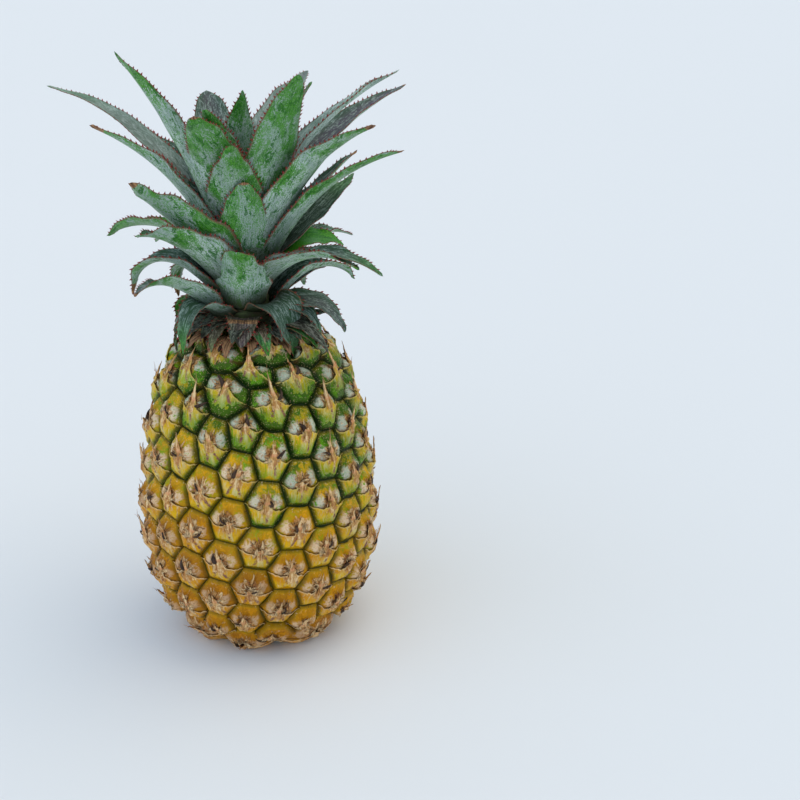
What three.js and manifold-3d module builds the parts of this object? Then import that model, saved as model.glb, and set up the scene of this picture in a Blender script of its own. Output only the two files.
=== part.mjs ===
// A pineapple standing on its base: one fruit grown as a single body, the crown stem that
// goes on up from its core, and the separate leaves of the crown.
// Millimetres, +Z up. The origin is the centre of the flat face that the fruit stands on.
// Angles round the fruit are in degrees, 0 towards -Y and 90 towards +X.

import * as THREE from 'three';
import { ConvexHull } from 'three/addons/math/ConvexHull.js';
import { mergeVertices } from 'three/addons/utils/BufferGeometryUtils.js';
import Module from 'manifold-3d';

// ---------------------------------------------------------------- driving dimensions

// The fruit's outline over the tops of its fruitlets, as height and radius.
const FRUIT_OUTLINE = [
  [0, 33], [5, 39.5], [13, 46], [25, 53], [40, 58], [58, 60], [77, 59.5], [96, 57.5],
  [114, 54.5], [131, 50.5], [146, 44], [157, 35.5], [164, 27], [168, 18],
];
const FRUIT_HEIGHT = 168;
const BASE_FACE_RADIUS = 30;
const TOP_FACE_RADIUS = 15;

// Fruitlets follow one spiral round the fruit.
const FRUITLET_TURN = -137.35; // degrees from one fruitlet to the next one down
const FIRST_FRUITLET_ANGLE = -2;
const FIRST_FRUITLET_HEIGHT = 134;
const FRUITLET_AREA = 408; // mm2 of skin to each one, at the fruit's waist
const TOP_CROWDING = 0.5; // share of that area lost by the fruitlets next to the crown
const BASE_CROWDING = 0.4; // and by those round the base
const GROOVE_DEPTH = 3.2; // below the outline, where three fruitlets meet
const SHOULDER = 0.62; // the flat top of a fruitlet, as a share of the way to its corners
const POINT_HEIGHT = 1.2; // of the bract's point above the outline

// The crown stem, as height and radius. The crown sits a little to one side of the fruit's axis.
const STEM_OUTLINE = [[168.4, 14], [175, 12.5], [200, 9.5], [230, 6], [252, 3]];
const STEM_SIDES = 14;
const CROWN_OFFSET = -3.5;

const LEAF_THICKNESS = 1.4; // along a leaf's middle
const LEAF_EDGE_THICKNESS = 0.6;
const LEAF_STEPS = 8; // along a leaf's length
const CLEARANCE = 0.3; // kept between neighbouring pieces

// One row for each leaf: angle round the stem, height where it leaves the stem, length along
// its middle, greatest width, rise above the horizontal at its base, how far it has bent down
// by its tip, how far its heading has turned by its tip, how far it has rolled by its tip,
// and half the angle of the arc across it. Two last numbers, where present, are the shares of
// the length between which it bends.
const LEAVES = {
  heart_leaf: [
    [6, 245, 50, 20, 77, 16, 15, 8, 45],
    [-14, 231, 69, 20, 71, 31, -3, 12, 50],
    [114, 230, 64, 18, 71, 21, -6, 0, 50],
    [155, 230, 87, 27, 60, 60, 5, 12, 50],
    [-154, 226, 66, 36, 52, 19, -12, 0, 29],
  ],
  upper_leaf: [
    [-22, 224, 78, 34, 68, 29, 10, 14, 36],
    [-5, 217, 68, 32, 69, 29, 14, 5, 48],
    [128, 219, 112, 24, 46, 42, 8, 0, 66],
    [115, 217, 104, 23, 66, 48, -12, -17, 65],
    [42, 214, 102, 32, 75, 25, -14, -12, 24],
    [-53, 208, 122, 28, 74, 26, 8, 10, 64],
    [-165, 208, 92, 26, 50, 60, 0, 0, 55],
    [150, 206, 98, 26, 46, 60, 5, 0, 55],
    [-130, 204, 105, 26, 60, 70, -10, 19, 60],
    [178, 204, 100, 28, 48, 60, 0, 0, 55],
    [-118, 203, 136, 18, 65, 75, -9, 1, 50],
  ],
  middle_leaf: [
    [118, 197, 47, 30, 46, 95, -6, 20, 30],
    [8, 199, 54, 33, 74, 8, 0, 0, 46],
    [-55, 199, 78, 40, 50, 10, 22, 24, 72],
    [111, 199, 71, 23, 56, 22, 0, -8, 47],
    [-148, 198, 94, 26, 44, 62, 0, 0, 55],
    [-90, 197, 97, 32, 79, 68, -12, 35, 66],
    [122, 197, 72, 24, 35, 21, 32, 4, 51],
    [-122, 196, 84, 28, 36, 82, -5, 25, 70],
    [80, 194, 103, 25, 70, 57, -16, -14, 59],
    [70, 193, 116, 36, 82, 66, -28, -15, 61],
    [162, 192, 84, 26, 42, 70, 0, 0, 52],
    [55, 191, 84, 24, 52, 80, -8, -9, 41],
    [-174, 190, 88, 26, 44, 80, 0, 0, 52],
    [57, 188, 72, 27, 57, 78, -16, -18, 62],
    [-50, 188, 75, 38, 62, 55, 25, 25, 74],
    [-82, 183, 62, 24, 46, 125, -34, 8, 70, 0.12, 0.95],
    [-142, 186, 78, 24, 40, 90, 0, 0, 50],
    [140, 184, 74, 24, 44, 85, 0, 0, 50],
  ],
  lower_leaf: [
    [0, 180, 44, 34, 73, 30, -4, -10, 66],
    [-132, 178, 58, 20, 32, 130, -10, 0, 45, 0.1, 1.0],
    [-112, 175, 44, 14, 30, 140, -6, 0, 48, -0.1, 0.9],
    [180, 176, 64, 22, 30, 95, 0, 0, 46],
    [156, 174, 58, 22, 34, 100, 0, 0, 46],
    [-54, 172, 79, 23, 58, 68, 48, 28, 52],
    [88, 172, 44, 22, 50, 138, -17, 12, 44],
    [110, 171, 60, 20, 80, 155, 20, -16, 80],
    [-156, 171, 52, 20, 30, 105, 0, 0, 46],
  ],
  collar_leaf: [
    [47, 178, 41, 28, 62, 136, 22, -6, 34, -0.1, 0.45],
    [-42, 176, 46, 20, 34, 112, 8, 8, 48, 0.15, 0.75],
    [2, 174, 22, 17, 38, 98, -12, -3, 15, 0, 0.6],
    [-28, 174, 24, 11, 20, 110, 2, 4, 35],
    [18, 172, 26, 10, 20, 85, 7, 2, 29],
    [120, 174, 40, 16, 50, 60, 0, 0, 45],
    [-86, 172, 38, 16, 28, 118, -4, 0, 35, -0.1, 0.8],
    [74, 174, 38, 16, 34, 118, 0, 0, 38, -0.1, 0.9],
    [170, 171, 40, 18, 15, 95, 0, 0, 40],
    [-130, 171, 38, 16, 15, 95, 0, 0, 40],
  ],
};

// ---------------------------------------------------------------- small helpers

const radians = THREE.MathUtils.degToRad;
const smooth = THREE.MathUtils.smoothstep;

// The point at an angle round the axis, a radius and a height.
function around(angle, radius, height) {
  return new THREE.Vector3(radius * Math.sin(angle), -radius * Math.cos(angle), height);
}

// The radius at a height, along a smooth curve through an outline's points.
function outlineRadius(outline) {
  const curve = new THREE.SplineCurve(outline.map(([z, r]) => new THREE.Vector2(r, z)));
  const samples = curve.getPoints(600);
  return (height) => {
    const above = samples.findIndex((point) => point.y >= height);
    if (above <= 0) return samples[above < 0 ? samples.length - 1 : 0].x;
    const [low, high] = [samples[above - 1], samples[above]];
    return THREE.MathUtils.mapLinear(height, low.y, high.y, low.x, high.x);
  };
}

function indexedGeometry(points, triangles) {
  const geometry = new THREE.BufferGeometry();
  geometry.setAttribute('position', new THREE.Float32BufferAttribute(points.flatMap((p) => [...p]), 3));
  geometry.setIndex(triangles.flat());
  return geometry;
}

// ---------------------------------------------------------------- fruit

const fruitRadius = outlineRadius(FRUIT_OUTLINE);

function skinArea(height) {
  const top = TOP_CROWDING * smooth(height, 140, FRUIT_HEIGHT);
  const base = BASE_CROWDING * (1 - smooth(height, 0, 25));
  return FRUITLET_AREA * (1 - top) * (1 - base);
}

// Walks along the outline from the first fruitlet, up or down, and sets one fruitlet each time
// that the band of skin passed over is worth one.
function walkSpiral(direction) {
  const step = 0.05;
  const placed = [];
  let passed = 0;
  let height = FIRST_FRUITLET_HEIGHT;
  while (height > 4 && height < FRUIT_HEIGHT - 1.5) {
    const radius = fruitRadius(height);
    height += direction * step;
    const slant = Math.hypot(step, fruitRadius(height) - radius);
    passed += (2 * Math.PI * radius * slant) / skinArea(height);
    if (passed >= placed.length + 1) {
      const turn = -direction * (placed.length + 1) * FRUITLET_TURN;
      placed.push({ angle: radians(FIRST_FRUITLET_ANGLE + turn), height });
    }
  }
  return placed;
}

function fruitletPlaces() {
  const first = { angle: radians(FIRST_FRUITLET_ANGLE), height: FIRST_FRUITLET_HEIGHT };
  return [...walkSpiral(1), first, ...walkSpiral(-1)];
}

// Two directions along the skin at a centre, in a right-handed set with the way out.
function tangents(centre) {
  const out = new THREE.Vector3(centre.x, centre.y, 0);
  if (out.length() < 1) {
    const side = Math.sign(centre.z - FRUIT_HEIGHT / 2);
    return [new THREE.Vector3(1, 0, 0), new THREE.Vector3(0, side, 0)];
  }
  const up = new THREE.Vector3(0, 0, 1);
  return [up.clone().cross(out).normalize(), up];
}

// For each centre, the corners of the patch of skin nearest to it, in order round it. Three
// neighbours on the convex hull of the centres share one corner.
function skinPatches(centres) {
  const hull = new ConvexHull().setFromPoints(centres);
  const corners = [];
  const patches = centres.map(() => []);
  for (const face of hull.faces) {
    const trio = [0, 1, 2].map((k) => centres.indexOf(face.getEdge(k).head().point));
    const point = new THREE.Vector3();
    for (const k of trio) point.addScaledVector(centres[k], 1 / 3);
    for (const k of trio) patches[k].push(corners.length);
    corners.push({ trio, point });
  }
  patches.forEach((patch, k) => {
    const [across, up] = tangents(centres[k]);
    const bearing = (corner) => {
      const arm = corners[corner].point.clone().sub(centres[k]);
      return Math.atan2(arm.dot(up), arm.dot(across));
    };
    patch.sort((a, b) => bearing(a) - bearing(b));
  });
  return { corners, patches };
}

function fruitGeometry(grown = 0) {
  const places = fruitletPlaces();
  const base = places.length;
  const top = base + 1;
  const centres = places.map(({ angle, height }) => around(angle, fruitRadius(height), height));
  centres.push(new THREE.Vector3(0, 0, -2), new THREE.Vector3(0, 0, FRUIT_HEIGHT + 2));
  const { corners, patches } = skinPatches(centres);

  const points = corners.map(({ trio, point }) => {
    const angle = Math.atan2(point.x, -point.y);
    if (trio.includes(base)) return around(angle, BASE_FACE_RADIUS + grown, -grown);
    if (trio.includes(top)) return around(angle, TOP_FACE_RADIUS + grown, FRUIT_HEIGHT + grown);
    return around(angle, fruitRadius(point.z) - GROOVE_DEPTH + grown, point.z);
  });
  const triangles = [];
  const add = (point) => points.push(point) - 1;

  places.forEach(({ angle, height }, k) => {
    const centre = centres[k];
    const middle = add(around(angle, fruitRadius(height) + POINT_HEIGHT + grown, height));
    const shoulders = patches[k].map((c) => {
      const point = centre.clone().lerp(points[c], SHOULDER);
      const radius = Math.max(fruitRadius(point.z), Math.hypot(point.x, point.y));
      return add(around(Math.atan2(point.x, -point.y), radius + grown, point.z));
    });
    patches[k].forEach((corner, i) => {
      const next = (i + 1) % shoulders.length;
      triangles.push([middle, shoulders[i], shoulders[next]]);
      triangles.push([shoulders[i], corner, patches[k][next]]);
      triangles.push([shoulders[i], patches[k][next], shoulders[next]]);
    });
  });

  for (const [face, height] of [[base, -grown], [top, FRUIT_HEIGHT + grown]]) {
    const middle = add(new THREE.Vector3(0, 0, height));
    patches[face].forEach((corner, i) => {
      triangles.push([middle, corner, patches[face][(i + 1) % patches[face].length]]);
    });
  }
  return indexedGeometry(points, triangles);
}

// ---------------------------------------------------------------- crown

const stemRadius = outlineRadius(STEM_OUTLINE);

function stemGeometry(grown = 0) {
  const [foot, tip] = [STEM_OUTLINE[0][0] - grown, STEM_OUTLINE.at(-1)[0] + grown];
  const profile = [new THREE.Vector2(0, foot)];
  for (const [height, radius] of STEM_OUTLINE) {
    profile.push(new THREE.Vector2(radius + grown, THREE.MathUtils.clamp(height, foot, tip)));
  }
  profile[1].y = foot;
  profile.at(-1).y = tip;
  profile.push(new THREE.Vector2(0, tip));
  const geometry = new THREE.LatheGeometry(profile, STEM_SIDES);
  geometry.deleteAttribute('normal');
  geometry.deleteAttribute('uv');
  geometry.rotateX(Math.PI / 2);
  geometry.translate(CROWN_OFFSET, 0, 0);
  return mergeVertices(geometry);
}

// Half of a leaf's width at a share of its length: it clasps the stem, is widest a quarter of
// the way up, and runs out to a point.
function halfWidth(width, share) {
  const past = Math.max(0, (share - 0.25) / 0.75);
  const base = 0.82 + 0.18 * smooth(share, 0, 0.25);
  return (width / 2) * base * (1 - 0.35 * past) * Math.sqrt(1 - past ** 1.6);
}

// A leaf is a thin channel swept along a curve that leaves the stem, bends down and turns.
function leafGeometry(row, grown = 0) {
  const [angle, foot, length, width, rise, fall, turn, roll, cup, bendStart = -0.3, bendEnd = 1.3] = row;
  const stand = stemRadius(foot) + CLEARANCE + LEAF_THICKNESS / 2;
  const middle = around(radians(angle), stand, foot);
  middle.x += CROWN_OFFSET;

  const points = [];
  const ahead = new THREE.Vector3();
  for (let step = 0; step < LEAF_STEPS; step += 1) {
    const share = step / LEAF_STEPS;
    const heading = radians(angle + turn * share);
    const pitch = radians(rise - fall * smooth(share, bendStart, bendEnd));
    const side = new THREE.Vector3(Math.cos(heading), Math.sin(heading), 0);
    const inner = around(heading, -Math.sin(pitch), Math.cos(pitch));
    const along = new THREE.Vector3().crossVectors(side, inner);
    side.applyAxisAngle(along, radians(roll * share));
    inner.applyAxisAngle(along, radians(roll * share));

    const half = halfWidth(width, share) + grown;
    const arc = radians(cup) * (1 - 0.3 * share);
    const bow = half / arc;
    const thinning = 1 - 0.4 * share;
    for (const [across, thick, face] of [
      [-1, LEAF_EDGE_THICKNESS, 1], [0, LEAF_THICKNESS, 1], [1, LEAF_EDGE_THICKNESS, 1],
      [1, LEAF_EDGE_THICKNESS, -1], [0, LEAF_THICKNESS, -1], [-1, LEAF_EDGE_THICKNESS, -1],
    ]) {
      const offset = face * ((thick * thinning) / 2 + grown);
      const point = middle.clone();
      point.addScaledVector(side, bow * Math.sin(across * arc));
      point.addScaledVector(inner, bow * (1 - Math.cos(across * arc)) + offset);
      points.push(point);
    }
    if (step === 0 && grown) points.forEach((point) => point.addScaledVector(along, -grown));
    middle.addScaledVector(along, length / LEAF_STEPS);
    ahead.copy(along);
  }
  const tip = points.push(middle.clone().addScaledVector(ahead, 2 * grown)) - 1;

  const ring = 6;
  const triangles = [[0, 1, 4], [0, 4, 5], [1, 2, 3], [1, 3, 4]];
  for (let step = 0; step < LEAF_STEPS - 1; step += 1) {
    for (let k = 0; k < ring; k += 1) {
      const [a, b] = [step * ring + k, step * ring + ((k + 1) % ring)];
      triangles.push([a, a + ring, b + ring], [a, b + ring, b]);
    }
  }
  const last = (LEAF_STEPS - 1) * ring;
  for (let k = 0; k < ring; k += 1) triangles.push([last + k, tip, last + ((k + 1) % ring)]);
  return indexedGeometry(points, triangles);
}

// ---------------------------------------------------------------- cutting leaves clear

const wasm = await Module();
wasm.setup();

function toSolid(geometry) {
  return new wasm.Manifold(new wasm.Mesh({
    numProp: 3,
    vertProperties: new Float32Array(geometry.attributes.position.array),
    triVerts: new Uint32Array(geometry.index.array),
  }));
}

function toGeometry(solid) {
  const { vertProperties, triVerts } = solid.getMesh();
  const geometry = new THREE.BufferGeometry();
  geometry.setAttribute('position', new THREE.Float32BufferAttribute(vertProperties, 3));
  geometry.setIndex([...triVerts]);
  return geometry;
}

// A piece with its neighbours cut out of it, as its largest part.
function cutClear(solid, neighbours) {
  let left = solid;
  for (const neighbour of neighbours) left = left.subtract(neighbour);
  const parts = left.decompose();
  return parts.reduce((best, part) => (part.volume() > best.volume() ? part : best));
}

function boxesMeet(a, b) {
  return [0, 1, 2].every((axis) => a.min[axis] < b.max[axis] && b.min[axis] < a.max[axis]);
}

// ---------------------------------------------------------------- materials and assembly

const SKIN = new THREE.MeshStandardMaterial({ color: 0xa08a3a, roughness: 0.55, metalness: 0 });
const STEM = new THREE.MeshStandardMaterial({ color: 0x8d8a55, roughness: 0.8, metalness: 0 });
const LEAF = new THREE.MeshStandardMaterial({ color: 0x6b8068, roughness: 0.6, metalness: 0 });

const pineapple = new THREE.Group();

function addPiece(name, geometry, material) {
  const mesh = new THREE.Mesh(geometry, material);
  mesh.name = name;
  pineapple.add(mesh);
}

addPiece('fruit_body', fruitGeometry(), SKIN);
addPiece('crown_stem', stemGeometry(), STEM);

// Inner leaves keep their whole shape, and each leaf further out is cut clear of them.
const kept = [toSolid(fruitGeometry(CLEARANCE)), toSolid(stemGeometry(CLEARANCE))];
for (const [name, rows] of Object.entries(LEAVES)) {
  rows.forEach((row, k) => {
    const whole = toSolid(leafGeometry(row));
    const near = kept.filter((solid) => boxesMeet(solid.boundingBox(), whole.boundingBox()));
    const leaf = cutClear(whole, near);
    addPiece(`${name}_${k + 1}`, toGeometry(leaf), LEAF);
    kept.push(toSolid(leafGeometry(row, CLEARANCE)));
  });
}

export default pineapple;
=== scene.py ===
"""A whole pineapple standing on its base: fine skin, bracts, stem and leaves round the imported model.

Sizes in this file are millimetres until MM turns them into metres. Angles round the fruit are in degrees,
0 towards -Y and 90 towards +X. The crown stands a little to one side of the fruit's axis.
"""

import math
import random

import bmesh
import bpy
import numpy as np
from bpy.props import FloatProperty, FloatVectorProperty, PointerProperty
from mathutils import Matrix, Vector


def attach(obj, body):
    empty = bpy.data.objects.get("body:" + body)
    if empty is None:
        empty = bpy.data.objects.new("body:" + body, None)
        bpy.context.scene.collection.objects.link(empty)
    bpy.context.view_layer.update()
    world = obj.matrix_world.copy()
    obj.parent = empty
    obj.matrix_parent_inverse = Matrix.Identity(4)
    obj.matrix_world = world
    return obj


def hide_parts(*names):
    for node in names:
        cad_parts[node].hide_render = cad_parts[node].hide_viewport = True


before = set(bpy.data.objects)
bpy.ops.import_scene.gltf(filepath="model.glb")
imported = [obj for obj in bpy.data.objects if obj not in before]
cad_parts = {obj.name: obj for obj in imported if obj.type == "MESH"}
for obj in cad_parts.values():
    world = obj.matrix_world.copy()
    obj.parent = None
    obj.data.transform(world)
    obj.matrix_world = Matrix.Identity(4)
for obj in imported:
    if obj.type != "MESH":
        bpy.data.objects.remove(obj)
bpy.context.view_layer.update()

bl_info = {
    "name": "Pineapple",
    "version": (1, 0, 0),
    "blender": (4, 5, 0),
    "location": "3D View > Sidebar > Pineapple",
    "description": "Builds the skin, bracts, stem and leaves of a whole pineapple round its packed model",
    "category": "Object",
}

MM = 0.001

# ---------------------------------------------------------------- the fruit's lattice

# The outline over the tops of the fruitlets, as height and radius.
FRUIT_OUTLINE = [
    (0, 33), (5, 39.5), (13, 46), (25, 53), (40, 58), (58, 60), (77, 59.5), (96, 57.5),
    (114, 54.5), (131, 50.5), (146, 44), (157, 35.5), (164, 27), (168, 18),
]
OUTLINE_TOP = 168
BASE_FACE_RADIUS = 30
TOP_FACE_RADIUS = 15

FRUITLET_TURN = -137.35
FIRST_FRUITLET_ANGLE = -2
FIRST_FRUITLET_HEIGHT = 134
FRUITLET_AREA = 408
TOP_CROWDING = 0.5
BASE_CROWDING = 0.4

# Heights between which the skin turns from golden to green, and how much sooner it does on one side.
GOLDEN_TO, GREEN_FROM = 30, 150
RIPER_SIDE = 0.2

SEED = 11
# Added to a fruitlet's own seed, so that the draws of one use do not follow those of another.
DRAWS_FOR = {"bract edge": 3, "bract shape": 7, "flower": 21, "hair": 33, "shreds": 51}


def smooth(value, low, high):
    """0 below low, 1 above high, and an even S between them."""
    share = np.clip((value - low) / (high - low), 0, 1)
    return share * share * (3 - 2 * share)


def blend(a, b, share):
    return a + (b - a) * share


def around(angle, radius, height):
    return np.array([radius * math.sin(angle), -radius * math.cos(angle), height])


def on_curve(before, start, end, after, share):
    """A point at a share of the way from start to end, on a smooth curve through all four."""
    leave, arrive = (end - before) / 2, (after - start) / 2
    return ((2 * start - 2 * end + leave + arrive) * share**3
            + (-3 * start + 3 * end - 2 * leave - arrive) * share**2 + leave * share + start)


def spline_table(outline, count=600):
    """Heights and radii along a smooth curve through an outline's points."""
    points = np.array(outline, float)
    last = len(points) - 1
    table = []
    for i in range(count + 1):
        place = last * i / count
        k = min(int(place), last)
        ends = [points[min(max(k + n, 0), last)] for n in (-1, 0, 1, 2)]
        table.append(on_curve(*ends, place - k))
    return np.array(table).T


OUTLINE_HEIGHTS, OUTLINE_RADII = spline_table(FRUIT_OUTLINE)


def fruit_radius(height):
    return np.interp(height, OUTLINE_HEIGHTS, OUTLINE_RADII)


def fruit_slope(height):
    """How fast the radius grows with height."""
    reach = 0.75
    return (fruit_radius(height + reach) - fruit_radius(height - reach)) / (2 * reach)


def on_skin(points, lift):
    """Points set on the fruit's outline at their own angle and height, then lifted off it by lift."""
    angle = np.arctan2(points[:, 0], -points[:, 1])
    slope = fruit_slope(points[:, 2])
    share = lift / np.hypot(1, slope)
    radius = fruit_radius(points[:, 2]) + share
    height = np.maximum(points[:, 2] - share * slope, 0.15)
    return np.column_stack([radius * np.sin(angle), -radius * np.cos(angle), height])


def skin_area(height):
    top = TOP_CROWDING * smooth(height, 140, OUTLINE_TOP)
    base = BASE_CROWDING * (1 - smooth(height, 0, 25))
    return FRUITLET_AREA * (1 - top) * (1 - base)


def walk_spiral(direction):
    """Angles and heights of the fruitlets above or below the first: one for each band of skin worth one."""
    step = 0.05
    placed, passed, height = [], 0.0, FIRST_FRUITLET_HEIGHT
    while 4 < height < OUTLINE_TOP - 1.5:
        radius = float(fruit_radius(height))
        height += direction * step
        slant = math.hypot(step, float(fruit_radius(height)) - radius)
        passed += 2 * math.pi * radius * slant / float(skin_area(height))
        if passed >= len(placed) + 1:
            turn = -direction * (len(placed) + 1) * FRUITLET_TURN
            placed.append((math.radians(FIRST_FRUITLET_ANGLE + turn), height))
    return placed


def ripeness(angle, height, chance=0.5):
    """0 where the skin is still dark green, 1 where it is golden: from the crown down, sooner on one side.
    Below 0 under the crown, where the finishes paint the crown's shade.
    """
    down = 1 - smooth(height, GOLDEN_TO, GREEN_FROM) - 0.4 * smooth(height, 146, 166)
    return np.clip(down - RIPER_SIDE * np.sin(angle) + 0.3 * (chance - 0.5), -0.4, 1)


class Fruitlet:
    """One fruitlet: its centre on the outline, the ways across and up there, and the sides round it."""

    def __init__(self, angle, height, chance):
        self.height = height
        radius, slope = float(fruit_radius(height)), float(fruit_slope(height))
        self.centre = around(angle, radius, height)
        way_out = around(angle, 1, 0)
        self.across = np.array([math.cos(angle), math.sin(angle), 0])
        self.up = (slope * way_out + np.array([0, 0, 1])) / math.hypot(1, slope)
        self.chance = chance.random()
        self.ripe = float(ripeness(angle, height, self.chance))

    def draws(self, use):
        """Random draws of this fruitlet's own, a different run of them for each use."""
        return random.Random(int(self.chance * 1e6) + DRAWS_FOR[use])

    def local(self, points):
        """Points as distances across and up from the centre."""
        arms = points - self.centre
        return arms @ self.across, arms @ self.up

    def place(self, across, up, lift):
        """Points on the skin from distances across and up, and a lift."""
        flat = self.centre + np.outer(across, self.across) + np.outer(up, self.up)
        return on_skin(flat, lift)

    def set_outline(self, corner_points):
        """The straight sides between the corners, for measuring how far in a point is."""
        u, v = self.local(corner_points)
        self.outline = np.column_stack([u, v])
        self.half_width = (u.max() - u.min()) / 2
        self.half_height = (v.max() - v.min()) / 2
        self.reach = float(self.inside(np.zeros(1), np.zeros(1))[0])

    def inside(self, across, up):
        """How far points are from the nearest side, 0 outside."""
        near = np.full(len(across), 1e3)
        for a, b in zip(self.outline, np.roll(self.outline, -1, axis=0)):
            along = (b - a) / max(np.hypot(*(b - a)), 1e-6)
            depth = along[0] * (up - a[1]) - along[1] * (across - a[0])
            near = np.minimum(near, depth)
        return np.maximum(near, 0)

    def swell(self, depth, settings):
        """Height of the skin at a depth in from the side: a groove, a shoulder and a dome; and the groove."""
        inward = np.clip(depth / self.reach, 0, 1)
        dome = settings.dome_height + 0.8 * (self.chance - 0.5) - settings.roundness * (1 - inward) ** 2
        groove = np.exp(-((depth / settings.groove_width) ** 1.6))
        return blend(dome, -settings.groove_depth, groove), groove


def hull_triangles(points):
    """The triangles of the convex hull of points, as their indices."""
    work = bmesh.new()
    vertices = [work.verts.new(p) for p in points]
    work.verts.index_update()
    hull = bmesh.ops.convex_hull(work, input=vertices)
    faces = [item for item in hull["geom"] if isinstance(item, bmesh.types.BMFace)]
    found = [[v.index for v in face.verts] for face in faces]
    work.free()
    return found


class Lattice:
    """All the fruitlets, and the corners and sides that they share."""

    def __init__(self):
        chance = random.Random(SEED)
        first = (math.radians(FIRST_FRUITLET_ANGLE), FIRST_FRUITLET_HEIGHT)
        places = [*walk_spiral(1), first, *walk_spiral(-1)]
        self.fruitlets = [Fruitlet(angle, height, chance) for angle, height in places]
        self.base, self.top = len(places), len(places) + 1
        centres = [f.centre for f in self.fruitlets]
        centres += [np.array([0, 0, -2.0]), np.array([0, 0, OUTLINE_TOP + 2.0])]

        self.corner_points, self.corner_free = [], []
        owners = {}
        for trio in hull_triangles(centres):
            point = sum(centres[k] for k in trio) / 3
            for k in trio:
                owners.setdefault(k, []).append(len(self.corner_points))
            self.corner_points.append(self.corner_place(trio, point))
            self.corner_free.append(not set(trio) & {self.base, self.top})
        for k, fruitlet in enumerate(self.fruitlets):
            points = np.array([self.corner_points[c] for c in owners[k]])
            u, v = fruitlet.local(points)
            order = np.argsort(np.arctan2(v, u))
            fruitlet.corners = [owners[k][i] for i in order]
            fruitlet.set_outline(points[order])
        self.rings = {face: self.ring_order(owners[face]) for face in (self.base, self.top)}

    def corner_place(self, trio, point):
        """A corner on the outline, or on the rim of the flat face under or over the fruit."""
        angle = math.atan2(point[0], -point[1])
        if self.base in trio:
            return around(angle, BASE_FACE_RADIUS, 0)
        if self.top in trio:
            return around(angle, TOP_FACE_RADIUS, OUTLINE_TOP)
        return around(angle, float(fruit_radius(point[2])), point[2])

    def ring_order(self, corners):
        return sorted(corners, key=lambda c: math.atan2(*self.corner_points[c][:2]))


lattice = Lattice()

# ---------------------------------------------------------------- meshes


class Solid:
    """A mesh in the making: points in millimetres, faces, and named values at the points."""

    def __init__(self):
        self.points, self.faces, self.values = [], [], {}
        self.count = 0

    def add(self, points, faces, **values):
        start = self.count
        self.points.append(np.asarray(points, float))
        self.faces += [tuple(start + i for i in face) for face in faces]
        for name, value in values.items():
            self.values.setdefault(name, []).append(np.asarray(value, float))
        self.count += len(points)
        return start

    def to_object(self, name, material):
        mesh = bpy.data.meshes.new(name)
        mesh.from_pydata(np.vstack(self.points) * MM, [], self.faces)
        for value_name, parts in self.values.items():
            kind = "FLOAT" if parts[0].ndim == 1 else "FLOAT_COLOR"
            layer = mesh.attributes.new(value_name, kind, "POINT")
            field = "value" if kind == "FLOAT" else "color"
            layer.data.foreach_set(field, np.concatenate(parts).ravel().astype(np.float32))
        mesh.validate()
        mesh.shade_smooth()
        mesh.materials.append(material)
        made = bpy.data.objects.new(name, mesh)
        bpy.context.scene.collection.objects.link(made)
        return made


def sleeve(rings, sides, closed_tip=False):
    """Faces of a tube of rings, with flat ends; closed_tip says that one more point ends it."""
    faces = [tuple(range(sides))[::-1]]
    for ring in range(rings - 1):
        for k in range(sides):
            a, b = ring * sides + k, ring * sides + (k + 1) % sides
            faces.append((a, b, b + sides, a + sides))
    last = (rings - 1) * sides
    if closed_tip:
        faces += [(last + k, last + (k + 1) % sides, last + sides) for k in range(sides)]
    else:
        faces.append(tuple(range(last, last + sides)))
    return faces


def tube(line, widths, depths, sides, start_side):
    """Points of a tube with an oval section along a line, and its faces."""
    points = []
    side = np.array(start_side, float)
    for k, spot in enumerate(line):
        along = line[min(k + 1, len(line) - 1)] - line[max(k - 1, 0)]
        along = along / np.linalg.norm(along)
        side = side - along * (side @ along)
        side = side / np.linalg.norm(side)
        up = np.cross(along, side)
        for i in range(sides):
            turn = 2 * math.pi * i / sides
            points.append(spot + side * widths[k] * math.cos(turn) + up * depths[k] * math.sin(turn))
    return np.array(points), sleeve(len(line), sides)


# ---------------------------------------------------------------- materials


def tone(code):
    """An sRGB colour code as the linear colour that a shader takes."""
    parts = [int(code[i:i + 2], 16) / 255 for i in (0, 2, 4)]
    return tuple(p / 12.92 if p < 0.04045 else ((p + 0.055) / 1.055) ** 2.4 for p in parts)


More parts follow.
